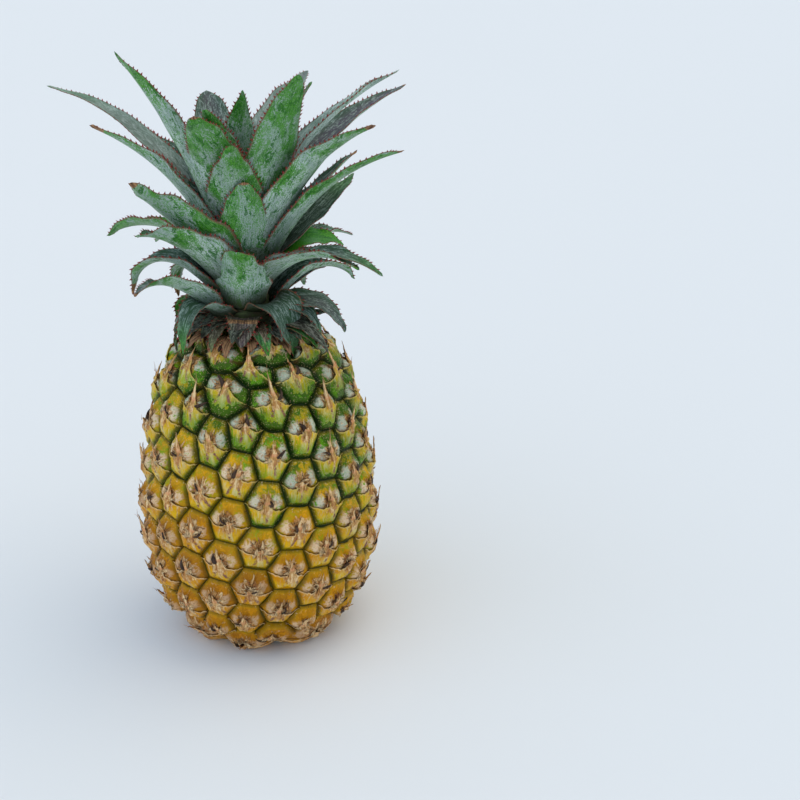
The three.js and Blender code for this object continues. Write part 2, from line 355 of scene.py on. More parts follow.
class Wire:
    """A number, colour or vector on its way through a material, and the nodes that it can go through."""

    def __init__(self, finish, socket):
        self.finish, self.socket = finish, socket

    def math(self, operation, b=0.0, c=0.0):
        return self.finish.wire("Math", {0: self, 1: b, 2: c}, operation=operation)

    def __add__(self, other):
        return self.math("ADD", other)

    def __sub__(self, other):
        return self.math("SUBTRACT", other)

    def __mul__(self, other):
        return self.math("MULTIPLY", other)

    def scaled(self, factor, offset):
        return self.math("MULTIPLY_ADD", factor, offset)

    def nudged(self, *noises):
        """A mask with its edge moved about by noises, each followed by its amount."""
        moved = self
        for noise, amount in zip(noises[::2], noises[1::2]):
            moved = moved + noise.scaled(amount, -amount / 2)
        return moved

    def step(self, low, high):
        """0 below low and 1 above high, smoothly."""
        inputs = {"Value": self, "From Min": low, "From Max": high}
        return self.finish.wire("MapRange", inputs, interpolation_type="SMOOTHSTEP")

    def range(self, low, high):
        """Low where this is 0, and high where it is 1."""
        return self.finish.wire("MapRange", {"Value": self, "To Min": low, "To Max": high})

    def mix(self, a, b):
        """Colour a where this is 0, and b where it is 1."""
        return self.finish.wire("Mix", {0: self, 6: a, 7: b}, output=2, data_type="RGBA")

    def coat(self, colour, share):
        """This colour with a coat of another over a share of it."""
        return share.mix(self, colour)

    def stretched(self, *factors):
        return self.finish.wire("VectorMath", {0: self, 1: factors}, operation="MULTIPLY")

    def ramp(self, *stops):
        """A colour from this number, through (place, colour) stops."""
        made = self.finish.node("ValToRGB", {0: self})
        band = made.color_ramp.elements
        while len(band) < len(stops):
            band.new(0.5)
        for element, (spot, colour) in zip(band, stops):
            element.position = spot
            element.color = (*colour, 1)
        return Wire(self.finish, made.outputs[0])


class Finish:
    """A material, and where its wires start and end."""

    def __init__(self, name):
        self.material = bpy.data.materials.new(name)
        self.material.use_nodes = True
        self.tree = self.material.node_tree
        self.surface = self.tree.nodes["Principled BSDF"]

    def put(self, socket, value):
        if isinstance(value, Wire):
            self.tree.links.new(value.socket, socket)
        elif socket.type == "RGBA":
            socket.default_value = (*value[:3], 1)
        else:
            socket.default_value = value

    def node(self, kind, inputs, **settings):
        made = self.tree.nodes.new("ShaderNode" + kind)
        for name, value in settings.items():
            setattr(made, name, value)
        for name, value in inputs.items():
            self.put(made.inputs[name], value)
        return made

    def wire(self, kind, inputs, output=0, **settings):
        return Wire(self, self.node(kind, inputs, **settings).outputs[output])

    def place(self):
        return self.wire("TexCoord", {}, output="Object")

    def value(self, name):
        return self.wire("Attribute", {}, output="Fac", attribute_name=name)

    def values(self, name):
        """The four numbers of a colour layer."""
        layer = self.node("Attribute", {}, attribute_name=name).outputs
        split = self.node("SeparateColor", {"Color": Wire(self, layer["Color"])})
        return [Wire(self, socket) for socket in (*split.outputs[:3], layer["Alpha"])]

    def vector(self, x, y, z):
        return self.wire("CombineXYZ", {0: x, 1: y, 2: z})

    def noise(self, vector, scale, detail=3, roughness=0.5, distortion=0.0):
        inputs = {"Vector": vector, "Scale": scale, "Detail": detail, "Roughness": roughness,
                  "Distortion": distortion}
        return self.wire("TexNoise", inputs)

    def done(self, colour, roughness, gloss=0.5, relief=None, strength=0.5, distance=0.5):
        """The finished material: its colour, how rough and glossy it is, and its relief in millimetres."""
        sockets = {"Base Color": colour, "Roughness": roughness, "Specular IOR Level": gloss}
        if relief:
            inputs = {"Height": relief, "Strength": strength, "Distance": distance * MM}
            sockets["Normal"] = self.wire("Bump", inputs)
        for name, value in sockets.items():
            self.put(self.surface.inputs[name], value)
        return self.material


class Mottle:
    """Noise of four sizes over the fruit, and what the colours of its skin and its bracts have in common."""

    def __init__(self, finish, look, ripe):
        self.look, self.ripe = look, ripe
        place = finish.place()
        self.broad = finish.noise(place, 120, 3)
        self.middle = finish.noise(place, 330, 4, 0.65, 1.2)
        self.fine = finish.noise(place, 800, 3, 0.7, 0.6)
        self.grain = finish.noise(place, 1500, 2, 0.7)
        self.deep = ripe.step(0.25, 0.85).mix(look.groove_green, look.groove_brown)
        self.rim = ripe.nudged(self.broad, 0.7, self.middle, 0.6).ramp(
            (0.0, look.dark_green), (0.35, look.rim_green), (0.65, look.olive), (1.0, look.rim_gold),
        )

    def papery(self, strands):
        """Dried skin: brown between strands of tan and white."""
        look = self.look
        return strands.nudged(self.fine, 0.35).ramp(
            (0.3, look.papery_dark), (0.4, look.papery_pink), (0.51, look.papery), (0.64, look.papery_light),
        )

    def shadowed(self, body, rim, green_weight, ripe_weight):
        """A colour darkened along the rim, by one weight where it is green and another where it is ripe."""
        weight = self.ripe.range(green_weight, ripe_weight)
        return body.coat(self.deep, rim.nudged(self.fine, 0.3).step(0.55, 1.0) * weight)

    def dusted(self, body):
        """A colour with pale grains over the green part."""
        grains = self.grain.step(0.6, 0.68) * self.ripe.step(0.75, 0.3)
        return body.coat(self.look.papery_light, grains * 0.5)

    def tint(self, chance):
        """A shade of its own for each fruitlet, from 0 to 1."""
        return (chance * 7.31).math("FRACT")


def skin_finish(look):
    """The fruitlets' own skin: green to golden, with dried strands round the eye and a dark groove."""
    finish = Finish("fruit_skin")
    groove, rim, cheek, eye = finish.values("skin")
    star_x, star_y, reach, chance = finish.values("star")
    shade, ripe = finish.value("shade"), finish.value("ripe")
    mottle = Mottle(finish, look, ripe)
    broad, middle, fine, grain = mottle.broad, mottle.middle, mottle.fine, mottle.grain
    star = finish.vector(star_x * 1.9, star_y * 1.9, reach * 1.1 + chance * 40)
    rays = finish.noise(star, 1, 4, 0.7, 1.4)

    turned = ripe + eye.scaled(0.5, -0.12)
    body = turned.nudged(broad, 0.8, middle, 0.9).ramp(
        (0.0, look.green), (0.3, look.yellow_green), (0.65, look.gold), (1.0, look.amber),
    )
    gilding = middle.nudged(broad, 0.8, rays, 0.4)
    orange = gilding.step(0.52, 0.62) * ripe.step(0.0, 0.35)
    body = body.coat(ripe.mix(look.yellow, look.orange), orange * 0.9)
    leafy = gilding.step(0.42, 0.3) * ripe.step(0.85, 0.35)
    body = body.coat(look.fresh_green, leafy * 0.8)

    bloom = ripe.step(0.15, 0.5).mix(look.skin_bloom, look.papery_white)
    bloom = bloom.coat(look.papery_white, grain.step(0.5, 0.65) * 0.6)
    dull = ripe.step(0.2, 0.6).mix(look.papery_pink, look.papery)
    bloom = bloom.coat(dull, middle.nudged(rays, 0.7, fine, 0.5).step(0.5, 0.64) * 0.65)
    pale = cheek.nudged(middle, 1.6, rays, 1.4, fine, 1.2) + ripe * -0.2
    body = body.coat(bloom, pale.step(0.42, 0.85) * ripe.step(0.2, 0.8).range(0.95, 0.75))

    # Painted shade under the crown: darker green where ripeness runs below 0.
    body = body.coat(look.dark_green, ripe.step(-0.02, -0.4) * 0.2)
    # Painted shade: the lowest, ripest rows darkened towards amber.
    body = body.coat(look.amber, ripe.step(0.7, 1.0) * 0.3)
    dry = (eye.nudged(rays, 2.2, middle, 0.8) + ripe.scaled(0.26, -0.16)).step(0.42, 0.58)
    body = body.coat(mottle.papery(rays), dry * 0.92)

    edge = rim.nudged(middle, 1.1, fine, 0.5)
    # Painted highlight: the upper side of each fruitlet's rim made lighter and yellower, as if lit from
    # above.
    upper = (star_y * reach).nudged(middle, 0.5).step(0.2, 0.8)
    hem = mottle.rim.coat(ripe.step(0.1, 0.8).mix(look.yellow_green, look.yellow), upper * 0.75)
    body = body.coat(hem, edge.step(0.25, 1.15) * ripe.range(0.92, 0.62))
    body = mottle.shadowed(body, rim, 0.75, 0.4)
    # Painted glints: pale specks along the upper rims, standing in for highlights.
    painted_glint = fine.step(0.6, 0.68) * (upper * edge.step(0.1, 0.6))
    body = mottle.dusted(body.coat(look.papery_light, painted_glint * 0.6))
    body = body.coat(mottle.deep, groove.nudged(fine, 0.5).step(0.15, 0.95))
    # Painted shade just under each bract's free edge and down in the eye.
    body = body.coat(look.brown_tone_and_shade, shade * ripe.range(0.9, 0.75))
    worn = broad.nudged(middle, 0.9, rays, 0.4, eye, 0.3) + ripe * 0.07
    body = body.coat(look.papery_dark, worn.step(0.66, 0.76) * 0.65)
    # A brown tone of each fruitlet's own, and painted shade darkening the lowest rows.
    body = body.coat(look.brown_tone_and_shade, (mottle.tint(chance) + ripe.step(0.7, 1.0) * 0.4) * 0.15)
    # Painted shade: near-black specks round the eye, standing in for small holes.
    body = body.coat(look.pit, fine.nudged(grain, 0.8).step(0.57, 0.65) * eye.step(0.35, 0.7))

    rough = dry.math("MAXIMUM", 0.1).nudged(fine, 0.4).range(0.2, 0.7)
    return finish.done(body, rough, look.skin_gloss, fine * 0.5 + rays * dry.range(0.3, 1.4), 0.9, 0.6)


def bract_finish(look):
    """The bracts: green to gold with pale and brown streaks, a yellow free edge and a dry spine."""
    finish = Finish("bract_skin")
    rim, edge, spine, dry_base = finish.values("bract")
    across, up, chance, _ = finish.values("cell")
    ripe = finish.value("ripe")
    mottle = Mottle(finish, look, ripe)
    broad, middle, fine = mottle.broad, mottle.middle, mottle.fine
    fibre = finish.noise(finish.vector(across * 9, up * 1.5, chance * 40), 1.0, 4, 0.65, 0.8)

    risen = up.nudged(broad, 0.6).step(-0.8, -0.1)
    turned = ripe + risen.scaled(0.5, -0.2) + dry_base * 0.35
    body = turned.nudged(broad, 0.7, fibre, 0.8, middle, 0.6).ramp(
        (0.0, look.green), (0.22, look.yellow_green), (0.5, look.yellow), (1.0, look.orange),
    )
    pale = ripe.mix(look.bract_pale, look.papery_light)
    body = body.coat(pale, fibre.step(0.52, 0.64) * 0.7)
    body = body.coat(look.fresh_green, fibre.step(0.46, 0.36) * ripe.step(0.65, 0.15))

    side = across.nudged(middle, 0.12).math("ABSOLUTE")
    glow = side.nudged(fibre, 0.6, middle, 0.9).step(0.75, 0.05) * rim.step(0.85, 0.2)
    body = body.coat(fibre.step(0.42, 0.6).mix(look.yellow, look.bract_pale), glow * ripe.range(0.85, 0.2))
    leafy = up.nudged(middle, 0.7, fibre, 0.5).step(-0.2, -0.75) * ripe.step(0.5, 0.1)
    body = body.coat(look.fresh_green, leafy * 0.6)
    body = body.coat(pale, side.step(0.11, 0.02) * up.step(-0.85, -0.4) * 0.75)

    # A brown streak low on the bract, forked on some and single on the others.
    forked = (side - up.scaled(-0.42, 0.04)).math("ABSOLUTE").step(0.1, 0.03)
    alone = (chance * 13.7).math("FRACT").math("GREATER_THAN", 0.45)
    streak = alone * side.step(0.09, 0.03) + alone.range(1.0, 0.0) * forked
    streak = streak * (up.step(-0.05, -0.2) * up.step(-0.78, -0.55))
    body = body.coat(look.streak, streak * middle.step(0.42, 0.52))

    # Painted shade under the crown, over the lower part of the top rows' bracts.
    crown_shade = ripe.step(-0.02, -0.35) * up.nudged(middle, 0.6).step(-0.1, -0.5)
    body = body.coat(look.dark_green, crown_shade * 0.3)
    # Painted shade: the rim darker along the bottom of each fruitlet, as if lit from above.
    hem = mottle.rim.coat(mottle.deep, up.nudged(middle, 0.5).step(-0.4, -0.95) * 0.6)
    margin = rim.nudged(fibre, 1.1, middle, 0.8)
    body = body.coat(hem, margin.step(0.2, 1.1) * ripe.range(0.9, 0.66))
    body = mottle.dusted(mottle.shadowed(body, rim, 0.7, 0.4))

    strands = fibre.nudged(middle, 0.5)
    dry = (dry_base.nudged(middle, 1.3, fibre, 1.1) + ripe.scaled(0.3, -0.18)).step(0.42, 0.6)
    body = body.coat(mottle.papery(strands), dry * 0.9)
    trim = ripe.step(0.2, 0.9).mix(look.edge_yellow, look.papery_light)
    body = body.coat(trim, edge.nudged(middle, 1.2, fine, 0.6).step(0.25, 1.05) * 0.8)
    spiny = spine.nudged(fibre, 0.3).step(0.12, 0.4).mix(look.spine_base, mottle.papery(strands + 0.08))
    body = body.coat(spiny, spine.nudged(fibre, 0.25).step(0.06, 0.2))
    body = body.coat(look.spine_tip, spine.step(0.8, 1.0) * 0.6)
    # A brown tone of each bract's own.
    body = body.coat(look.brown_tone_and_shade, mottle.tint(chance) * 0.12)

    rough = dry.math("MAXIMUM", spine).nudged(fine, 0.5).range(0.28, 0.78)
    return finish.done(body, rough, look.skin_gloss, fine * 0.5 + fibre, 0.9, 0.6)


def dried_finish(name, dark, light):
    """Dried plant stuff: fibres from dark to light."""
    finish = Finish(name)
    fibre = finish.noise(finish.place().stretched(1, 1, 0.3), 900, 4, 0.65, 0.3)
    return finish.done(fibre.ramp((0.3, dark), (0.7, light)), 0.75, 0.2, fibre, 0.6, 0.3)


def leaf_finish(name, look):
    """A leaf: a grey waxy bloom rubbed off in streaks down to green, with a darker inner face.

    The layer "state" says how much of the bloom is gone, how purple the inner face is, how brown it has
    dried and how dark it is, from age on old leaves and as painted shade on dark collar bracts.
    """
    finish = Finish(name)
    across, up, inner, tooth = finish.values("leaf")
    blade_x, blade_y, seed, tip = finish.values("blade")
    fresh, purple, dried, old = finish.values("state")
    spot = finish.vector(blade_x, blade_y, seed)

    def drawn_out(along, *noise):
        """Noise drawn out along the leaf."""
        return finish.noise(spot.stretched(1, along, 1), *noise)

    broad = drawn_out(0.5, 0.10, 2, 0.5, 0.5)
    patch = drawn_out(0.35, 0.5, 5, 0.78, 1.2)
    speck = drawn_out(0.6, 1.9, 3, 0.75, 0.6)
    fibre = drawn_out(0.05, 2.4, 3, 0.6)

    bloom = broad.nudged(patch, 1.0).step(0.35, 0.65).mix(look.bloom, look.bloom_pale)
    bloom = bloom.coat(look.bloom_dark, fibre.nudged(speck, 1.1).step(0.5, 0.66) * 0.75)
    green = speck.nudged(fibre, 0.5).step(0.35, 0.65).mix(look.leaf_green, look.leaf_bright)
    rubbed = broad.nudged(patch, 0.9) + (up.step(0.3, 1.0) * 0.14 + fresh)
    bare = rubbed.nudged(speck, 0.65).step(0.59, 0.66)
    mottled = speck.nudged(fibre, 0.6).step(0.5, 0.58) * rubbed.step(0.25, 0.6)
    veil = speck.nudged(patch, 0.9, fibre, 0.5).step(0.5, 0.64).range(1.0, 0.5)
    outer = bloom.coat(green, (bare * veil).math("MAXIMUM", mottled * 0.8))
    outer = outer.coat(look.bloom_pale, speck.step(0.34, 0.26) * 0.35)
    scrape = drawn_out(0.5, 0.26, 4, 0.7, 1.0).nudged(speck, 0.25)
    outer = outer.coat(look.leaf_green, scrape.step(0.575, 0.59) * 0.8)

    inside = patch.nudged(fibre, 0.8).step(0.4, 0.62).mix(look.inner_green, look.inner_grey)
    middle = across.step(1.0, 0.2)
    inside = inside.coat(look.inner_purple, middle * purple)
    flecks = patch.nudged(speck, 0.8, fibre, 0.7).step(0.52, 0.64) * old.range(0.75, 0.2)
    inside = inside.coat(fibre.step(0.45, 0.65).mix(look.bloom, look.bloom_pale), flecks)
    inside = inside.coat(look.bloom_dark, fibre.nudged(speck, 0.9).step(0.5, 0.64) * 0.5)
    green_tip = up.nudged(patch, 0.5).step(0.6, 0.95) * purple.step(0.6, 0.1)
    inside = inside.coat(green, green_tip * 0.75)
    waxy = fresh.step(-0.02, -0.2) * patch.nudged(speck, 0.6).range(0.5, 1.0)
    inside = inside.coat(bloom.coat(look.inner_purple, middle * (purple * 0.7)), waxy)
    inside = inside.coat(green, fresh.nudged(patch, 0.2).step(0.1, 0.17))
    body = outer.coat(inside, inner)

    base = up.nudged(patch, 0.12).ramp((0.0, look.stem), (0.07, look.leaf_base))
    body = body.coat(base, up.nudged(patch, 0.2).step(0.2, 0.03) * 0.8)
    # Painted shade: the foot of every leaf darkened, where it sits between the others round the stem.
    body = body.coat(look.old, up.nudged(patch, 0.1).step(0.4, 0.08) * 0.7)
    body = body.coat(look.margin, across.nudged(speck, 0.12).step(0.93, 0.985) * 0.8)
    brown = fibre.nudged(patch, 0.6).ramp((0.35, look.dried_dark), (0.65, look.dried_light))
    body = body.coat(brown, tip.nudged(patch, 0.5).step(0.4, 0.6).math("MAXIMUM", dried))
    # Darker where the state says so: age on old leaves, painted shade on the dark collar bracts.
    body = body.coat(look.old, old * patch.nudged(speck, 0.8).step(0.62, 0.4))
    body = body.coat(look.tooth, tooth)
    return finish.done(body, bare.range(0.6, 0.34), 0.22, speck * 0.4 + fibre, 0.45, 0.35)


def stem_finish(look):
    """The crown's stem: fibrous, with bands of brown and pale green."""
    finish = Finish("crown_stem_skin")
    band = finish.noise(finish.place().stretched(1, 1, 3), 180, 4, 0.6, 0.4)
    body = band.ramp((0.3, look.dried_dark), (0.5, look.stem), (0.7, look.leaf_base))
    return finish.done(body, 0.75, 0.5, band, 0.5, 0.5)


# ---------------------------------------------------------------- settings


def amount(description, default):
    return FloatProperty(description=description, default=default, min=0.0)


def colour(description, code):
    return FloatVectorProperty(description=description, default=tone(code), size=3, min=0.0, max=1.0,
                               subtype="COLOR")


class PineappleFruitSettings(bpy.types.PropertyGroup):
    groove_depth: amount("Depth of the grooves below the outline, in millimetres", 3.0)
    groove_width: amount("Half the width of a groove, in millimetres", 0.42)
    dome_height: amount("Height of a fruitlet's middle over the outline, in millimetres", 1.0)
    roundness: amount("Drop from a fruitlet's middle to its rim, in millimetres", 3.9)
    bract_lift: amount("Height of a bract's free edge over the skin, in millimetres", 1.0)
    bract_thickness: amount("Thickness of a bract at its edge, in millimetres", 0.4)
    spine_length: amount("Length of a bract's dry spine, in millimetres", 10.5)
    spine_width: amount("Half the width of the spine where it starts, in millimetres", 2.6)
    flower_share: amount("Share of the fruitlets that keep a dried flower", 0.8)
    skin_gloss: amount("Strength of the skin's reflections", 0.12)

    # Also painted over the top rows as the shade under the crown.
    dark_green: colour("Rims next to the crown", "153c06")
    green: colour("Skin that is still green", "41680c")
    rim_green: colour("Rims of the fruitlets half-way up", "365a04")
    fresh_green: colour("Stripes up a green bract", "66a40c")
    yellow_green: colour("Skin that is turning", "b69c0e")
    yellow: colour("Brightest skin round the eye", "ecba0c")
    gold: colour("Ripe skin", "c88c04")
    amber: colour("Ripest skin", "a66602")
    orange: colour("Patches round the eye", "dc9004")
    olive: colour("Rims of the ripe fruitlets", "766202")
    rim_gold: colour("Rims of the ripest fruitlets", "8c5c02")
    skin_bloom: colour("Waxy bloom on the green skin", "c2cab4")
    groove_green: colour("Grooves near the crown", "0e2804")
    groove_brown: colour("Grooves near the base", "4c4402")
    # Painted shade under the bracts' free edges, in the eyes and over the lowest rows; also a brown tone that
    # differs from fruitlet to fruitlet.
    brown_tone_and_shade: colour("Skin under a bract's free edge", "4e300c")
    papery: colour("Dry papery skin", "c89050")
    papery_light: colour("Palest papery skin", "fad6a0")
    papery_white: colour("Whitish skin of the cheeks beside the eye", "f4d8b8")
    papery_pink: colour("Pinkish papery skin", "ae7048")
    papery_dark: colour("Darkest papery skin", "44240f")
    # Painted shade of small holes round the eye.
    pit: colour("Holes by the eye", "22130c")
    bract_pale: colour("Pale stripes up a bract", "d2d088")
    edge_yellow: colour("Free edge of a green bract", "e6c86c")
    streak: colour("Brown streaks low on a bract", "8a5a50")
    spine_base: colour("Where a bract turns into its spine", "e6a070")
    spine_tip: colour("Tip of a dry spine", "9c785c")
    flower: colour("Dried flowers in the eyes", "1f1510")
    flower_light: colour("Lighter fibres of the dried flowers", "5a4436")


class PineappleCrownSettings(bpy.types.PropertyGroup):
    thickness: amount("Thickness of a leaf along its middle, in millimetres", 1.3)
    edge_thickness: amount("Thickness of a leaf at its margins, in millimetres", 0.45)
    tooth_spacing: amount("Distance from tooth to tooth, in millimetres", 2.7)
    tooth_length: amount("Length of a tooth, in millimetres", 1.3)

    bloom: colour("Waxy bloom", "96aa9e")
    bloom_pale: colour("Thick waxy bloom", "c4d2ca")
    bloom_dark: colour("Thin waxy bloom", "3a5a40")
    leaf_green: colour("Green under the bloom", "1f6414")
    leaf_bright: colour("Lighter green under the bloom", "54a022")
    inner_green: colour("Inner face", "2c4c2e")
    inner_grey: colour("Bloom on the inner face", "5a6f66")
    inner_purple: colour("Purple along the inner face", "4f4753")
    leaf_base: colour("Where a leaf clasps the stem", "5f6a38")
    margin: colour("The line along a leaf's edge", "77573f")
    tooth: colour("Hooked teeth", "8a2a26")
    dried_light: colour("Light dried leaf", "b5875c")
    dried_dark: colour("Dark dried leaf", "4c3024")
    # Darkens the oldest leaves, and is painted shade at the foot of every leaf and on the dark collar bracts.
    old: colour("Dark patches of the oldest leaves", "17130d")
    stem: colour("Crown stem", "3e4824")


class PineappleStageSettings(bpy.types.PropertyGroup):
    floor: colour("Floor and backdrop", "e6e8ea")
    sky: colour("Light from all round", "d2e3f2")
    key_tint: colour("Colour of the light from the right", "ffe2b4")
    fill_tint: colour("Colour of the light from the left", "d8e4ff")
    sky_strength: amount("Strength of the light from all round", 0.945)
    key_strength: amount("Strength of the light from the right", 0.85)
    fill_strength: amount("Strength of the light from the left", 0.75)
    camera_distance: FloatProperty(description="From the aim point to the camera", default=0.95,
                                   unit="LENGTH")
    camera_elevation: FloatProperty(description="Angle of the camera above the floor",
                                    default=math.radians(25), subtype="ANGLE")
    lens: FloatProperty(description="Focal length", default=84.47, unit="CAMERA")


# ---------------------------------------------------------------- fruit

# Shares of the way from a fruitlet's side to its middle at which the skin has a ring of points.
SKIN_RINGS = [0.028, 0.06, 0.10, 0.155, 0.225, 0.33, 0.46, 0.61, 0.77, 0.9]
SIDE_POINT_SPACING = 1.25
CORNER_DIP = 0.5
# Where the eye and the two cheeks beside it are, in half widths and half heights of a fruitlet.
EYE_UP = 0.12
STAR_UP = 0.05
CHEEK_ACROSS, CHEEK_UP = 0.45, 0.24
CREASE_BEARINGS = (math.radians(62), math.radians(118))
# Depths and heights of the relief, in millimetres.
CREASE_DEPTH = 1.0
CHEEK_HEIGHT = 1.15
EYE_DEPTH = 1.3
FOLD_HEIGHT = 0.36
RIPPLE_HEIGHT = 0.2
# The half width of a fruitlet at which its bract has its full size.
FULL_HALF_WIDTH = 8.5


class BractShape:
    """Where a fruitlet's bract ends: its horns at the left and right corners, and its spine."""

    def __init__(self, fruitlet, settings):
        pick = fruitlet.draws("bract shape")
        corners = fruitlet.outline
        self.left = corners[corners[:, 0].argmin()] * 1.03
        self.right = corners[corners[:, 0].argmax()] * 1.03
        width, height = fruitlet.half_width, fruitlet.half_height
        self.scale = min(1.0, width / FULL_HALF_WIDTH)
        self.spine_x = pick.uniform(-0.12, 0.12) * width
        self.spine_y = pick.uniform(-0.14, 0.04) * height
        self.spine_width = settings.spine_width * self.scale * pick.uniform(0.8, 1.3)
        kept = pick.choice([0.35, 0.75, 0.9, 1.0, 1.0, 1.1, 1.2, 1.3])
        self.spine_length = settings.spine_length * self.scale * kept
        self.blunt = 1.7 if kept > 0.6 else 0.9
        self.lean = pick.gauss(0, 0.13)
        self.curl = pick.uniform(-0.2, 1.7) * self.scale
        self.dips = [pick.uniform(0.4, 1.7) * self.scale for _ in range(2)]
        self.lift = settings.bract_lift * self.scale * pick.uniform(0.6, 1.5) * (1 - 0.7 * fruitlet.ripe)

    def side_edge(self, share, direction):
        """A point on the free edge, from a horn (0) to the spine's foot (1)."""
        end = self.left if direction < 0 else self.right
        foot = np.array([self.spine_x + direction * self.spine_width, self.spine_y])
        middle = (end + foot) / 2 - np.array([0, self.dips[direction > 0] * 2.0])
        return (1 - share) ** 2 * end + 2 * share * (1 - share) * middle + share**2 * foot

    def spine_edge(self, share, direction):
        """A point on the spine's edge, from its foot (0) to its tip (1)."""
        taper = (1 - share) ** self.blunt
        x = self.spine_x + self.lean * self.spine_length * share + direction * self.spine_width * taper
        return np.array([x, self.spine_y + self.spine_length * share])

    def edge_height(self, across):
        """How high up the free edge is at distances across, for the skin that it shades."""
        edge = np.array([self.side_edge(share, side) for share in np.linspace(0, 1, 9) for side in (-1, 1)])
        edge = edge[np.argsort(edge[:, 0])]
        return np.interp(across, edge[:, 0], edge[:, 1])


def skin_lift(fruitlet, across, up, settings):
    """Height of the bare skin over the outline, and how far down in the groove it is."""
    lift, groove = fruitlet.swell(fruitlet.inside(across, up), settings)
    chance = fruitlet.chance
    u, v = across / fruitlet.half_width, up / fruitlet.half_height
    reach = np.hypot(u, v - EYE_UP)
    bearing = np.arctan2(v - STAR_UP, u)
    crease = sum(np.exp(-((bearing - spot - 0.3 * (chance - 0.5)) / 0.12) ** 2) for spot in CREASE_BEARINGS)
    lift = lift - CREASE_DEPTH * crease * smooth(reach, 0.12, 0.35) * (1 - smooth(reach, 0.6, 0.95))
    for side in (-1, 1):
        cheek = ((u - side * CHEEK_ACROSS) / 0.25) ** 2 + ((v - CHEEK_UP) / 0.3) ** 2
        lift = lift + CHEEK_HEIGHT * np.exp(-cheek)
    lift = lift - EYE_DEPTH * np.exp(-((reach / 0.16) ** 2))
    folds = np.cos(6 * bearing + 20 * chance) + 0.6 * np.cos(10 * bearing + 50 * chance)
    lift = lift + FOLD_HEIGHT * folds * smooth(reach, 0.08, 0.3) * (1 - smooth(reach, 0.5, 0.9))
    ripple = np.sin(across * 1.3 + 9 * chance) * np.cos(up * 1.5 + 5 * chance)
    ripple = ripple + 0.6 * np.sin(across * 2.9 - up * 2.1 + 30 * chance)
    return lift + RIPPLE_HEIGHT * ripple * (1 - groove), groove


def rim_share(depth):
    """1 at a fruitlet's side, 0 from 4 mm in."""
    return 1 - smooth(depth, 0.4, 3.8)


def groove_values(points):
    """What the skin's layers say at points down in a groove."""
    count = len(points)
    angles = np.arctan2(points[:, 0], -points[:, 1])
    return {
        "skin": np.tile([1.0, 1.0, 0, 0], (count, 1)), "star": np.tile([1.0, 0, 1, 0], (count, 1)),
        "shade": np.zeros(count), "ripe": ripeness(angles, points[:, 2]),
    }


